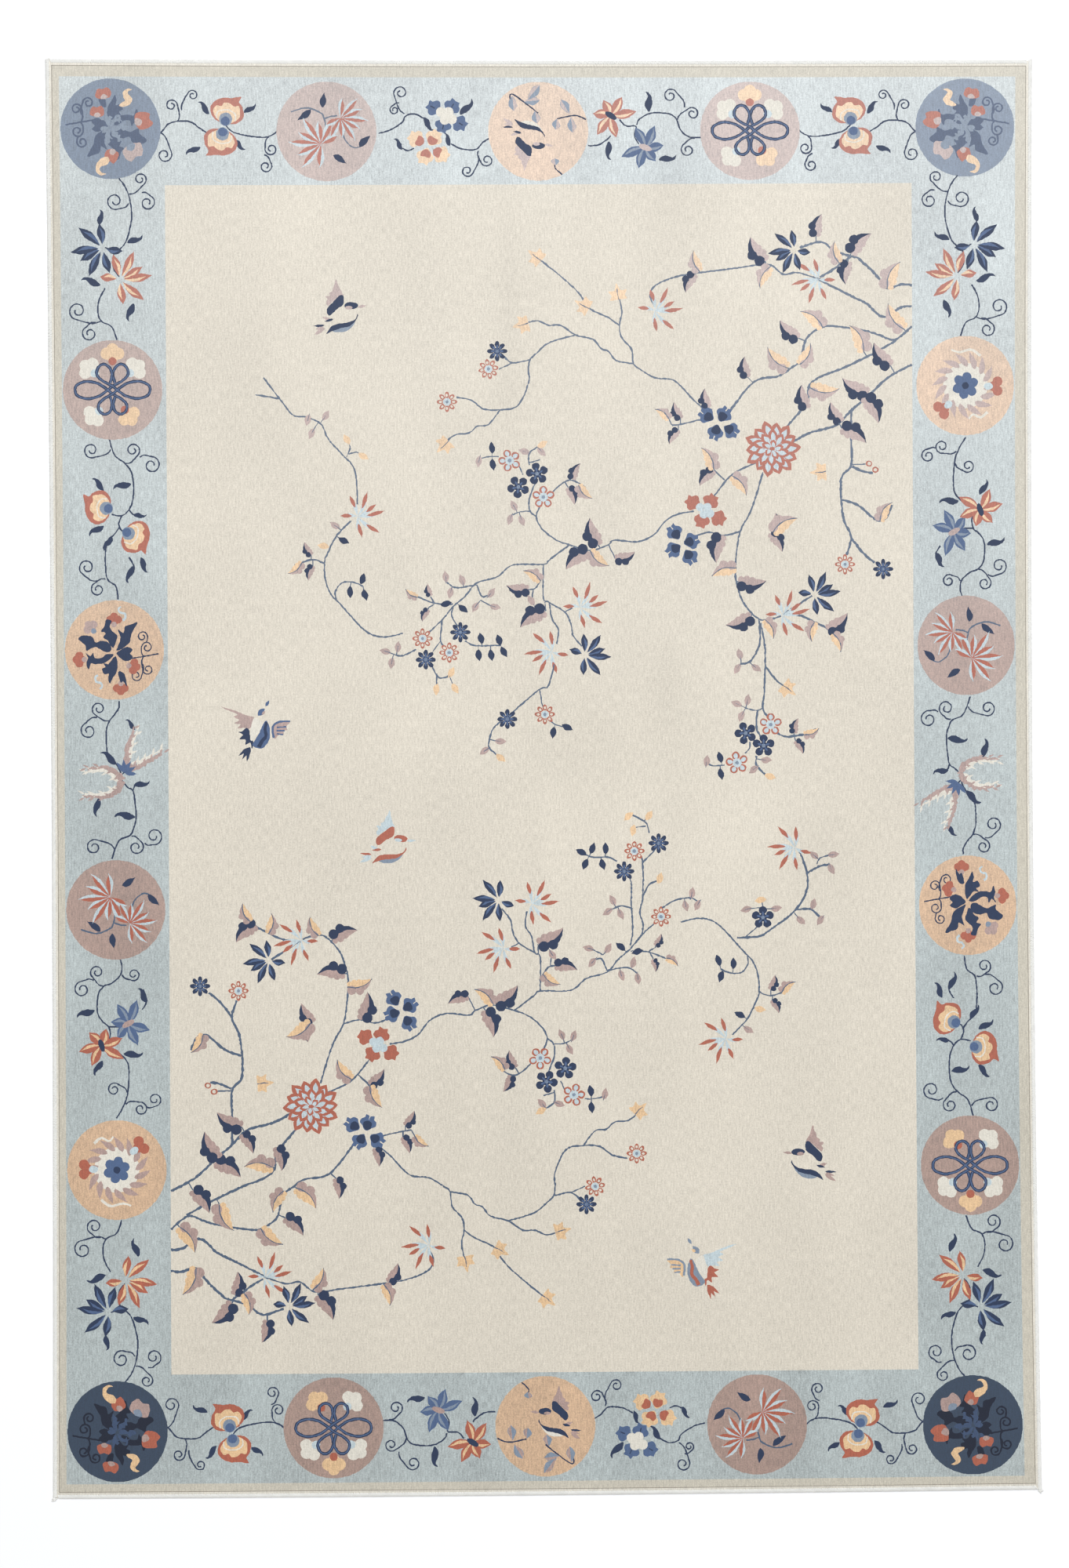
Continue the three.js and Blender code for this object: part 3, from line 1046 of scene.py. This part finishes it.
BIRDS = (
    ("swoop", "432,392", 0, True, ("navy", "mauve", "grey", "mauve")),
    ("glide", "325,932", 0, False, ("navy", "mauve", "slate", "mauve")),
    ("swoop", "495,1072", 8, True, ("rust", "ice", "grey", "ice")),
    ("swoop", "1030,1475", 0, False, ("navy", "mauve", "grey", "mauve")),
    ("glide", "892,1620", 0, True, ("rust", "ice", "grey", "peach")),
)


def field_flower(pen, kind):
    if kind == "chrysanthemum":
        chrysanthemum(pen)
    elif kind in ("blue", "rust"):
        four_petal(pen, kind)
    elif kind == "tall blue":
        four_petal(pen.part(0j, -90, 1.0, True), "blue")
    elif kind == "rust fan":
        rust_fan(pen)
    elif kind == "navy fan":
        lance_fan(pen)
    elif kind.startswith("outline"):
        outline_flower(pen, int(kind[-1]))
    else:
        navy_flower(pen, int(kind[-1]))


def nearest(point, lines):
    """Point of the stems that is nearest to a leaf."""
    return min((spot for line in lines for spot in line), key=lambda spot: abs(spot - point))


def spray(pen, stems, leaves, leaflets, maples, flowers, joins=()):
    """One spray: stems, leaves as base>tip with the side they bow to, leaflets, then flowers."""
    lines = [curve(pixels(stem)) for stem in stems]
    for line in lines:
        middle = line[len(line) // 2]
        swell = min(max((middle.real - ROOT_START) / ROOT_LENGTH, 0.0), 1.0)
        width = STEM_WIDTH + ROOT_SWELL * swell if len(line) > SHORT_STEM else TWIG_WIDTH
        pen.stroke("stem", line, width, rough=STEM_ROUGH)
    for kind, entries in leaves.items():
        for entry in entries.split():
            base, tip = pixels(entry[:-1].replace(">", " "))
            left = entry[-1] == "L"
            join = nearest(base, lines + list(joins))
            if TWIG_WIDTH < abs(join - base) < LONGEST_TWIG:
                pen.line("stem", [join, base], TWIG_WIDTH)
            length = min(1.05 * abs(tip - base), LONGEST_LEAF)
            lobed_leaf(pen.toward(base, tip, 1.0, not left), length, kind)
    for yarn, entries in leaflets.items():
        for middle in pixels(entries):
            base = nearest(middle, lines + list(joins))
            away = (middle - base) / max(abs(middle - base), 1e-6)
            start = middle - LEAFLET_REACH * away
            if TWIG_WIDTH < abs(start - base) < LONGEST_TWIG:
                pen.line("stem", [base, start + 2 * away], 1.2)
            leaflet(pen.toward(start, middle), yarn)
    for entry in maples:
        base, tip = pixels(entry.replace(">", " "))
        maple_leaf(pen.toward(0.35 * base + 0.65 * tip, tip + 0.2 * (tip - base)))
    for kind, place, heading in flowers:
        field_flower(pen.part(pixels(place)[0], heading), kind)
    return lines


def bird(pen, entry):
    kind, place, heading, mirrored, yarns = entry
    own = pen.part(pixels(place)[0], 180 - heading if mirrored else heading, 1.0, mirrored)
    if kind == "swoop":
        swooping_bird(own, *yarns)
    else:
        gliding_bird(own, *yarns)


def draw_field(pen):
    upper = pen
    lower = pen.part(0j, 180)
    for own in (upper, lower):
        lines = spray(own, SPRAY_STEMS, SPRAY_LEAVES, SPRAY_LEAFLETS, SPRAY_MAPLES, SPRAY_FLOWERS)
        bud_pair(own.part(pixels("1107,591")[0]))
    spray(upper, UPPER_STEMS, UPPER_LEAVES, UPPER_LEAFLETS, UPPER_MAPLES, UPPER_FLOWERS, lines)
    turned = [[-point for point in line] for line in lines]
    spray(upper, LOWER_STEMS, {}, LOWER_LEAFLETS, (), LOWER_FLOWERS, turned)
    for entry in BIRDS:
        bird(pen, entry)


# The cloth


def stray_at(side, t):
    start, middle, end = STRAY[side]
    return middle + 0.5 * (end - start) * t + (0.5 * (end + start) - middle) * t * t


def lay(x, y, sharpness=1.0):
    """Where a point of the nominal rectangle lies on the uneven cloth, in millimetres."""
    side = np.where(x < 0, stray_at("left", y / HALF_LENGTH), stray_at("right", y / HALF_LENGTH))
    end = np.where(y < 0, stray_at("bottom", x / HALF_WIDTH), stray_at("top", x / HALF_WIDTH))
    across = (np.abs(x) / HALF_WIDTH) ** sharpness * side
    along = (np.abs(y) / HALF_LENGTH) ** sharpness * end
    return x + across, y + along


def rectangle(half_width, half_length, middle=0j):
    """Outline of a rectangle in knots from sizes in millimetres, with points along its sides."""
    corners = [
        complex(-half_width, -half_length), complex(half_width, -half_length),
        complex(half_width, half_length), complex(-half_width, half_length),
    ]
    outline = []
    for k, corner in enumerate(corners):
        end = corners[(k + 1) % 4]
        pieces = round(abs(end - corner) / BOUNDARY_STEP)
        outline += [middle + corner + (end - corner) * i / pieces for i in range(pieces)]
    return [point / KNOT for point in outline]


def draw_pattern():
    """All the filled outlines of the pattern in the order they cover each other, in knots."""
    chart = []
    inset = EDGING_WIDTH + GAP
    for width, yarn in HEM_LINES:
        chart.append((yarn, rectangle(HALF_WIDTH - inset, HALF_LENGTH - inset)))
        inset = EDGING_WIDTH + GAP + width
    chart.append(("guard", rectangle(HALF_WIDTH - inset, HALF_LENGTH - inset)))
    chart.append(("sky", rectangle(*BORDER_HALF, PATTERN_SHIFT)))
    chart.append(("field", rectangle(*FIELD_HALF, PATTERN_SHIFT)))
    pen = Pen(chart, place=PATTERN_SHIFT / KNOT)
    drawn = len(chart)
    for heading, corner in ((0, "pale corner"), (180, "dark corner")):
        half_border(pen.part(0j, heading), corner)
    draw_field(pen)
    for k in range(drawn, len(chart)):
        yarn, outline = chart[k]
        chart[k] = (yarn, [complex(point.real, PATTERN_SQUEEZE * point.imag) for point in outline])
    return chart


def snapped(point):
    """Whole steps of the weave nearest to a point."""
    return round(point.real / SNAP), round(point.imag / SNAP)


def cut(chart):
    """Triangles of the cloth that follow every outline: points in knots, and triangles."""
    index = {}
    edges = set()
    points = []

    def vertex(point, exact):
        key = (point.real, point.imag) if exact else snapped(point)
        if key not in index:
            index[key] = len(points)
            points.append(key if exact else (key[0] * SNAP, key[1] * SNAP))
        return index[key]

    for k, (_, outline) in enumerate(chart):
        ring = [vertex(point, k < BAND_COUNT) for point in outline]
        for a, b in zip(ring, ring[1:] + ring[:1]):
            if a != b:
                edges.add((min(a, b), max(a, b)))
    flat = [Vector(point) for point in points]
    result = delaunay_2d_cdt(flat, sorted(edges), [], 0, 1e-4, False)
    corners = np.array([(v.x, v.y) for v in result[0]])
    faces = np.array([face for face in result[2]])
    a, b, c = (corners[faces[:, k]] for k in range(3))
    area = (b[:, 0] - a[:, 0]) * (c[:, 1] - a[:, 1]) - (b[:, 1] - a[:, 1]) * (c[:, 0] - a[:, 0])
    faces[area < 0] = faces[area < 0][:, ::-1]
    return corners, faces


def inside(outline, x, y):
    """Which of the points lie inside an outline, by winding number."""
    winding = np.zeros(len(x), int)
    for start, end in zip(outline, outline[1:] + outline[:1]):
        side = (end.real - start.real) * (y - start.imag) - (x - start.real) * (end.imag - start.imag)
        winding += (start.imag <= y) & (y < end.imag) & (side > 0)
        winding -= (end.imag <= y) & (y < start.imag) & (side < 0)
    return winding != 0


def dye(chart, corners, faces):
    """Yarn of every triangle, as an index into the yarn names."""
    middles = corners[faces].mean(axis=1)
    order = np.argsort(middles[:, 0])
    x, y = middles[order].T
    yarn = np.zeros(len(faces), int)
    for k, (name, outline) in enumerate(chart):
        reals = [point.real for point in outline]
        heights = [point.imag for point in outline]
        first, last = np.searchsorted(x, [min(reals) - SNAP, max(reals) + SNAP])
        near = np.arange(first, last)
        near = near[(y[near] > min(heights) - SNAP) & (y[near] < max(heights) + SNAP)]
        woven = outline
        if k >= BAND_COUNT:
            woven = [complex(right * SNAP, up * SNAP) for right, up in map(snapped, outline)]
        yarn[order[near[inside(woven, x[near], y[near])]]] = YARN_NAMES.index(name)
    return yarn


def linear(colour):
    """Linear colour from sRGB bytes."""
    shares = [c / 255 for c in colour]
    return [s / 12.92 if s <= 0.04045 else ((s + 0.055) / 1.055) ** 2.4 for s in shares]


def edge_ring(corners):
    """Vertices along the cloth's cut edge, in order round it."""
    reach = np.abs(corners).max(axis=0) - 1e-3
    on_edge = np.where((np.abs(corners) > reach).any(axis=1))[0]
    shape = corners[on_edge] / reach
    turn = np.where(
        np.abs(shape[:, 0]) > np.abs(shape[:, 1]),
        np.where(shape[:, 0] > 0, shape[:, 1], 4 - shape[:, 1]),
        np.where(shape[:, 1] > 0, 2 - shape[:, 0], 6 + shape[:, 0]),
    )
    return on_edge[np.argsort(turn % 8)]


def cloth_mesh():
    """Closed cloth with the pattern as a colour of each face."""
    chart = draw_pattern()
    corners, faces = cut(chart)
    yarn = dye(chart, corners, faces)
    flat = corners * KNOT
    x, y = lay(flat[:, 0], flat[:, 1], EDGE_DRAW)
    rim = edge_ring(corners)
    ring_x, ring_y = lay(flat[rim, 0], flat[rim, 1])
    x[rim], y[rim] = ring_x, ring_y
    top = np.column_stack([x, y, np.full(len(x), CLOTH_THICKNESS)])
    margin_bottom = (EDGING_HEIGHT - MARGIN_THICKNESS) / 2
    outwards = EDGING_WIDTH + GAP - (EDGING_WIDTH - MARGIN_REACH)
    steps = (
        (0.0, margin_bottom + MARGIN_THICKNESS), (outwards, margin_bottom + MARGIN_THICKNESS),
        (outwards, margin_bottom), (0.0, margin_bottom), (0.0, 0.0),
    )
    limit = np.abs(flat).max(axis=0)
    rows = [top]
    rings = [list(rim)]
    for reach, height in steps:
        spread = flat[rim] * (limit + reach) / limit
        px, py = lay(spread[:, 0], spread[:, 1])
        rings.append(list(range(sum(map(len, rows)), sum(map(len, rows)) + len(rim))))
        rows.append(np.column_stack([px, py, np.full(len(rim), height)]))
    polygons = [tuple(face) for face in faces]
    shades = list(yarn)
    for upper, lower in zip(rings, rings[1:]):
        for k in range(len(rim)):
            j = (k + 1) % len(rim)
            polygons.append((upper[k], lower[k], lower[j], upper[j]))
            shades.append(YARN_NAMES.index("white"))
    polygons.append(tuple(reversed(rings[-1])))
    shades.append(YARN_NAMES.index("white"))
    return np.vstack(rows) / 1000.0, polygons, shades


UV_SPAN = 3.0  # metres across the whole map


def add_object(name, mesh):
    obj = bpy.data.objects.new(name, mesh)
    bpy.context.collection.objects.link(obj)
    return obj


def make_cloth(material):
    positions, polygons, shades = cloth_mesh()
    mesh = bpy.data.meshes.new("cloth")
    mesh.from_pydata(positions.tolist(), [], [[int(i) for i in face] for face in polygons])
    shades = np.array(shades)
    palette = np.array([linear(YARNS[name][0]) + [1.0] for name in YARN_NAMES])
    colours = mesh.attributes.new("yarn", "FLOAT_COLOR", "FACE")
    colours.data.foreach_set("color", palette[shades].astype(np.float32).ravel())
    glosses = np.array([YARNS[name][1] for name in YARN_NAMES])
    sheen = mesh.attributes.new("gloss", "FLOAT", "FACE")
    sheen.data.foreach_set("value", glosses[shades].astype(np.float32))
    loops = np.empty(len(mesh.loops), int)
    mesh.loops.foreach_get("vertex_index", loops)
    layer = mesh.uv_layers.new(name="OFBake")
    spread = 0.5 + positions[loops][:, :2] / UV_SPAN
    layer.data.foreach_set("uv", spread.astype(np.float32).ravel())
    mesh.materials.append(material)
    mesh.update()
    return add_object("rug_cloth", mesh)


# Overcast edging

STITCH = {
    "Pitch": 0.0026,  # metres between stitches
    "Reach": 0.0041,  # half width of the loop
    "Rise": 0.0022,  # half height of the loop
    "Yarn": 0.0013,  # radius of the yarn
    "Slant": 0.42,  # radians
}
SLANT_SPREAD = 0.16  # radians to either side
SLANT_SEED = 5
PATH_POINTS = 73
PATH_END = 1.5  # how far a path stops short of its strip's end, in millimetres


def stitch_tree(material):
    """Node tree that wraps a curve in slanted loops of yarn."""
    tree = bpy.data.node_groups.new("overcast", "GeometryNodeTree")
    tree.interface.new_socket("Path", in_out="INPUT", socket_type="NodeSocketGeometry")
    for name in STITCH:
        tree.interface.new_socket(name, in_out="INPUT", socket_type="NodeSocketFloat")
    tree.interface.new_socket("Geometry", in_out="OUTPUT", socket_type="NodeSocketGeometry")
    given = tree.nodes.new("NodeGroupInput")

    def node(kind, values=(), **settings):
        made = tree.nodes.new(kind)
        for key, value in settings.items():
            setattr(made, key, value)
        for key, value in values:
            socket = made.inputs[key]
            if isinstance(value, bpy.types.NodeSocket):
                tree.links.new(value, socket)
            else:
                socket.default_value = value
        return made

    points = node(
        "GeometryNodeResampleCurve", [("Curve", given.outputs["Path"]), ("Length", given.outputs["Pitch"])],
        mode="LENGTH",
    )
    loop = node("GeometryNodeCurvePrimitiveCircle", [("Resolution", 10), ("Radius", 1.0)])
    size = node("ShaderNodeCombineXYZ", [(0, given.outputs["Reach"]), (1, given.outputs["Rise"]), (2, 1.0)])
    oval = node("GeometryNodeTransform", [("Geometry", loop.outputs[0]), ("Scale", size.outputs[0])])
    upright = node(
        "GeometryNodeTransform", [("Geometry", oval.outputs[0]), ("Rotation", (math.pi / 2, 0.0, 0.0))]
    )
    section = node("GeometryNodeCurvePrimitiveCircle", [("Resolution", 4), ("Radius", given.outputs["Yarn"])])
    yarn = node(
        "GeometryNodeCurveToMesh",
        [("Curve", upright.outputs[0]), ("Profile Curve", section.outputs[0])],
    )
    along = node("GeometryNodeInputTangent")
    facing = node(
        "FunctionNodeAlignRotationToVector", [("Vector", along.outputs[0])], axis="Y", pivot_axis="Z",
    )
    loose = node("FunctionNodeRandomValue", [("Seed", SLANT_SEED)], data_type="FLOAT")
    loose.inputs[2].default_value = -SLANT_SPREAD
    loose.inputs[3].default_value = SLANT_SPREAD
    slant = node("ShaderNodeMath", [(0, given.outputs["Slant"]), (1, loose.outputs[1])], operation="ADD")
    spin = node("ShaderNodeCombineXYZ", [(2, slant.outputs[0])])
    turned = node(
        "FunctionNodeRotateRotation",
        [("Rotation", facing.outputs[0]), ("Rotate By", spin.outputs[0])],
        rotation_space="LOCAL",
    )
    placed = node(
        "GeometryNodeInstanceOnPoints",
        [("Points", points.outputs[0]), ("Instance", yarn.outputs[0]), ("Rotation", turned.outputs[0])],
    )
    solid = node("GeometryNodeRealizeInstances", [("Geometry", placed.outputs[0])])
    smooth = node("GeometryNodeSetShadeSmooth", [("Geometry", solid.outputs[0])])
    dyed = node("GeometryNodeSetMaterial", [("Geometry", smooth.outputs[0]), ("Material", material)])
    result = tree.nodes.new("NodeGroupOutput")
    tree.links.new(dyed.outputs[0], result.inputs[0])
    return tree


def path_object(name, points):
    data = bpy.data.curves.new(name, "CURVE")
    data.dimensions = "3D"
    spline = data.splines.new("POLY")
    spline.points.add(len(points) - 1)
    for point, place in zip(spline.points, points):
        point.co = (*place, 1.0)
    return add_object(name, data)


def settle(name, source):
    """Plain mesh object of what a modifier makes, in place of its source."""
    graph = bpy.context.evaluated_depsgraph_get()
    mesh = bpy.data.meshes.new_from_object(source.evaluated_get(graph), depsgraph=graph)
    obj = add_object(name, mesh)
    bpy.data.objects.remove(source, do_unlink=True)
    return obj


LOOSE_ENDS = {  # yarn past the bottom corner of a side strip, in millimetres from its end
    "left": ((-2.0, -1.0), (-2.5, -3.5)),
    "right": ((2.0, -1.0), (3.5, -3.0), (0.5, -4.0)),
}


def edge_path(side):
    """Middle line of one edging strip, in metres."""
    inset = EDGING_WIDTH / 2
    upright = side in ("left", "right")
    reach = HALF_LENGTH - PATH_END if upright else HALF_WIDTH - EDGING_WIDTH - GAP - PATH_END
    along = np.linspace(-reach, reach, PATH_POINTS)
    across = (HALF_WIDTH if upright else HALF_LENGTH) - inset
    across = np.full(len(along), -across if side in ("left", "bottom") else across)
    x, y = lay(across, along) if upright else lay(along, across)
    line = list(zip(x, y))
    corner_x, corner_y = line[0]
    for right, up in LOOSE_ENDS.get(side, ()):
        line.insert(0, (corner_x + right, corner_y + up))
    return [(a / 1000, b / 1000, EDGING_HEIGHT / 2000) for a, b in line]


def make_edging(side, tree):
    source = path_object("path_" + side, edge_path(side))
    modifier = source.modifiers.new("stitches", "NODES")
    modifier.node_group = tree
    for item in tree.interface.items_tree:
        if item.in_out == "INPUT" and item.name in STITCH:
            modifier[item.identifier] = STITCH[item.name]
    return settle("edging_" + side + "_yarn", source)


# Materials


class Wire:
    """A shader socket that takes part in sums and feeds other nodes."""

    def __init__(self, tree, socket):
        self.tree = tree
        self.socket = socket

    def node(self, kind, inputs, output=0, **settings):
        made = self.tree.nodes.new(kind)
        for key, value in settings.items():
            setattr(made, key, value)
        for key, value in inputs.items():
            if isinstance(value, Wire):
                self.tree.links.new(value.socket, made.inputs[key])
            else:
                made.inputs[key].default_value = value
        return Wire(self.tree, made.outputs[output])

    def maths(self, operation, a, b):
        return self.node("ShaderNodeMath", {0: a, 1: b}, operation=operation)

    def __add__(self, other):
        return self.maths("ADD", self, other)

    def __radd__(self, other):
        return self.maths("ADD", other, self)

    def __sub__(self, other):
        return self.maths("SUBTRACT", self, other)

    def __mul__(self, other):
        return self.maths("MULTIPLY", self, other)

    def blend(self, share, colour, other):
        """Colour mixed with a share of a plain one."""
        made = self.tree.nodes.new("ShaderNodeMix")
        made.data_type = "RGBA"
        self.tree.links.new(share.socket, made.inputs[0])
        self.tree.links.new(colour.socket, made.inputs[6])
        made.inputs[7].default_value = (*other, 1.0)
        return Wire(self.tree, made.outputs[2])

    def stretched(self, x, y, z):
        return self.node("ShaderNodeMapping", {"Vector": self, "Scale": (x, y, z)})

    def noise(self, scale, detail=2.0):
        return self.node("ShaderNodeTexNoise", {"Vector": self, "Scale": scale, "Detail": detail})


def new_material(name):
    material = bpy.data.materials.new(name)
    material.use_nodes = True
    tree = material.node_tree
    shader = tree.nodes["Principled BSDF"]
    first = Wire(tree, None)
    place = first.node("ShaderNodeTexCoord", {}, "Object")
    return material, shader, place


def feed(shader, name, wire):
    wire.tree.links.new(wire.socket, shader.inputs[name])


PAINTED_SHEEN_SLOPE = 0.15  # share of painted sheen, a blend towards a pale tone, on a glossy yarn per metre towards the far end
# pale tone that the painted sheen blends glossy yarns towards
PAINTED_SHEEN_TINT = (0.8, 0.79, 0.75)
# Soft darker marks in the field
DARK_MARKS = (  # middle and half size in metres, and depth
    (-0.065, 0.965, 0.022, 0.2, 0.045), (-0.085, 0.77, 0.05, 0.035, 0.03), (0.25, 0.19, 0.03, 0.09, 0.04),
    (-0.02, -0.14, 0.025, 0.1, 0.035), (0.02, 0.99, 0.05, 0.03, 0.03),
)


def dark_marks(place):
    """Soft darker marks in the field, as a share of darkening."""
    total = 0.0
    for x, y, wide, tall, depth in DARK_MARKS:
        location = (-x / wide, -y / tall, 0.0)
        scale = (1 / wide, 1 / tall, 0.0)
        offset = place.node("ShaderNodeMapping", {"Vector": place, "Location": location, "Scale": scale})
        reach = place.node("ShaderNodeVectorMath", {0: offset}, "Value", operation="LENGTH")
        total = total + place.maths("POWER", 0.35, reach * reach) * depth
    return total


def cloth_material():
    material, shader, place = new_material("cloth")
    yarn = place.node("ShaderNodeAttribute", {}, "Color", attribute_name="yarn")
    gloss = place.node("ShaderNodeAttribute", {}, "Fac", attribute_name="gloss")
    coarse = 0.44 + gloss * 0.6
    grain = place.noise(330.0, 3.0)
    streaks = place.stretched(330.0, 60.0, 1.0).noise(1.0, 3.0)
    patches = place.stretched(4.0, 1.3, 1.0).noise(1.0, 3.0)
    clouds = place.noise(3.2, 5.0)
    brushed = place.stretched(9.0, 3.0, 1.0).noise(1.0, 4.0)
    mottle = place.stretched(110.0, 60.0, 1.0).noise(1.0, 2.0)
    # Painted sheen: brushed, mottled light and dark patches on glossy yarns stand in for the sheen of the nap
    nap_sheen = ((brushed - 0.5) * 0.5 + (mottle - 0.5) * 0.3) * gloss
    # Soft blotches over the cloth: the cloud and patch terms are the pile's uneven tone together with painted
    # sheen patches, and the dark marks darken the field
    sheen_and_marks = (clouds - 0.5) * 0.14 + (patches - 0.5) * 0.1 - dark_marks(place) + nap_sheen
    tone = 1.0 + ((grain - 0.5) + (streaks - 0.5) * 0.9) * coarse + sheen_and_marks
    # Painted sheen: the further a glossy yarn lies towards the far end, the more it is blended towards a pale
    # tone, standing in for the nap's sheen under the light
    along = place.node("ShaderNodeSeparateXYZ", {0: place}, "Y")
    painted_sheen = place.maths("MAXIMUM", along * PAINTED_SHEEN_SLOPE, 0.0) * gloss
    sheened_yarn = place.blend(painted_sheen, yarn, PAINTED_SHEEN_TINT)
    tint = place.node("ShaderNodeVectorMath", {0: sheened_yarn, "Scale": tone}, operation="SCALE")
    feed(shader, "Base Color", tint)
    feed(shader, "Coat Weight", gloss)
    height = grain * 0.6 + streaks * 0.4
    bump = place.node("ShaderNodeBump", {"Strength": 0.3, "Distance": 0.001, "Height": height})
    feed(shader, "Normal", bump)
    shader.inputs["Roughness"].default_value = 0.75
    shader.inputs["Coat Roughness"].default_value = 0.5
    shader.inputs["Coat IOR"].default_value = 1.8
    return material


def edging_material():
    material, shader, place = new_material("edging")
    clouds = place.noise(60.0, 2.0)
    base = place.node("ShaderNodeCombineColor", {0: 0.93, 1: 0.92, 2: 0.87})
    tint = place.node("ShaderNodeVectorMath", {0: base, "Scale": 0.92 + clouds * 0.16}, operation="SCALE")
    feed(shader, "Base Color", tint)
    shader.inputs["Roughness"].default_value = 0.85
    return material


# Stage

COOL_LIGHT = (0.97, 1.0, 1.07)


def aim(obj, target):
    obj.rotation_euler = (Vector(target) - obj.location).to_track_quat("-Z", "Y").to_euler()


def soft_light(name, place, target, size, power):
    data = bpy.data.lights.new(name, "AREA")
    data.shape = "SQUARE"
    data.size = size
    data.energy = power
    data.color = COOL_LIGHT
    obj = add_object(name, data)
    obj.location = place
    aim(obj, target)


CAMERA_PLACE = (-0.0183, -0.0158, 6.5)  # metres
SENSOR_HEIGHT = 24.0
PHOTO_HEIGHT = 2000  # pixels


def photo_camera():
    """Camera straight above, turned so that the rug lies as it does in the photo."""
    distance = CAMERA_PLACE[2] - CLOTH_THICKNESS / 1000
    data = bpy.data.cameras.new("camera")
    data.sensor_fit = "VERTICAL"
    data.sensor_height = SENSOR_HEIGHT
    data.lens = SENSOR_HEIGHT * distance / (PHOTO_HEIGHT * KNOT / 1000)
    obj = add_object("camera", data)
    obj.location = CAMERA_PLACE
    obj.rotation_euler = (0.0, 0.0, -PHOTO_TURN)
    bpy.context.scene.camera = obj


def light_stage():
    scene = bpy.context.scene
    scene.view_settings.view_transform = "Standard"
    world = bpy.data.worlds.new("studio")
    world.use_nodes = True
    sky = world.node_tree.nodes["Background"]
    sky.inputs["Color"].default_value = (1.0, 1.0, 1.0, 1.0)
    sky.inputs["Strength"].default_value = 0.5
    scene.world = world
    soft_light("far end softbox", (0.9, 3.4, 9.5), (0.0, 0.0, 0.0), 3.0, 590.0)


FLOOR_REACH = 8.0


def make_floor():
    mesh = bpy.data.meshes.new("floor")
    reach = FLOOR_REACH
    corners = [(-reach, -reach, 0.0), (reach, -reach, 0.0), (reach, reach, 0.0), (-reach, reach, 0.0)]
    mesh.from_pydata(corners, [], [(0, 1, 2, 3)])
    material, shader, _ = new_material("floor")
    shader.inputs["Base Color"].default_value = (0.95, 0.95, 0.95, 1.0)
    shader.inputs["Emission Color"].default_value = (1.0, 1.0, 1.0, 1.0)
    shader.inputs["Emission Strength"].default_value = 0.12
    shader.inputs["Roughness"].default_value = 1.0
    shader.inputs["Specular IOR Level"].default_value = 0.0
    mesh.materials.append(material)
    return add_object("floor", mesh)


def main():
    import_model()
    cloth = make_cloth(cloth_material())
    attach(cloth, "root")
    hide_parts("rug_body")
    tree = stitch_tree(edging_material())
    for side in ("left", "right", "top", "bottom"):
        strip = make_edging(side, tree)
        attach(strip, "root")
        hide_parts("edging_" + side)
    make_floor()
    light_stage()
    photo_camera()


main()
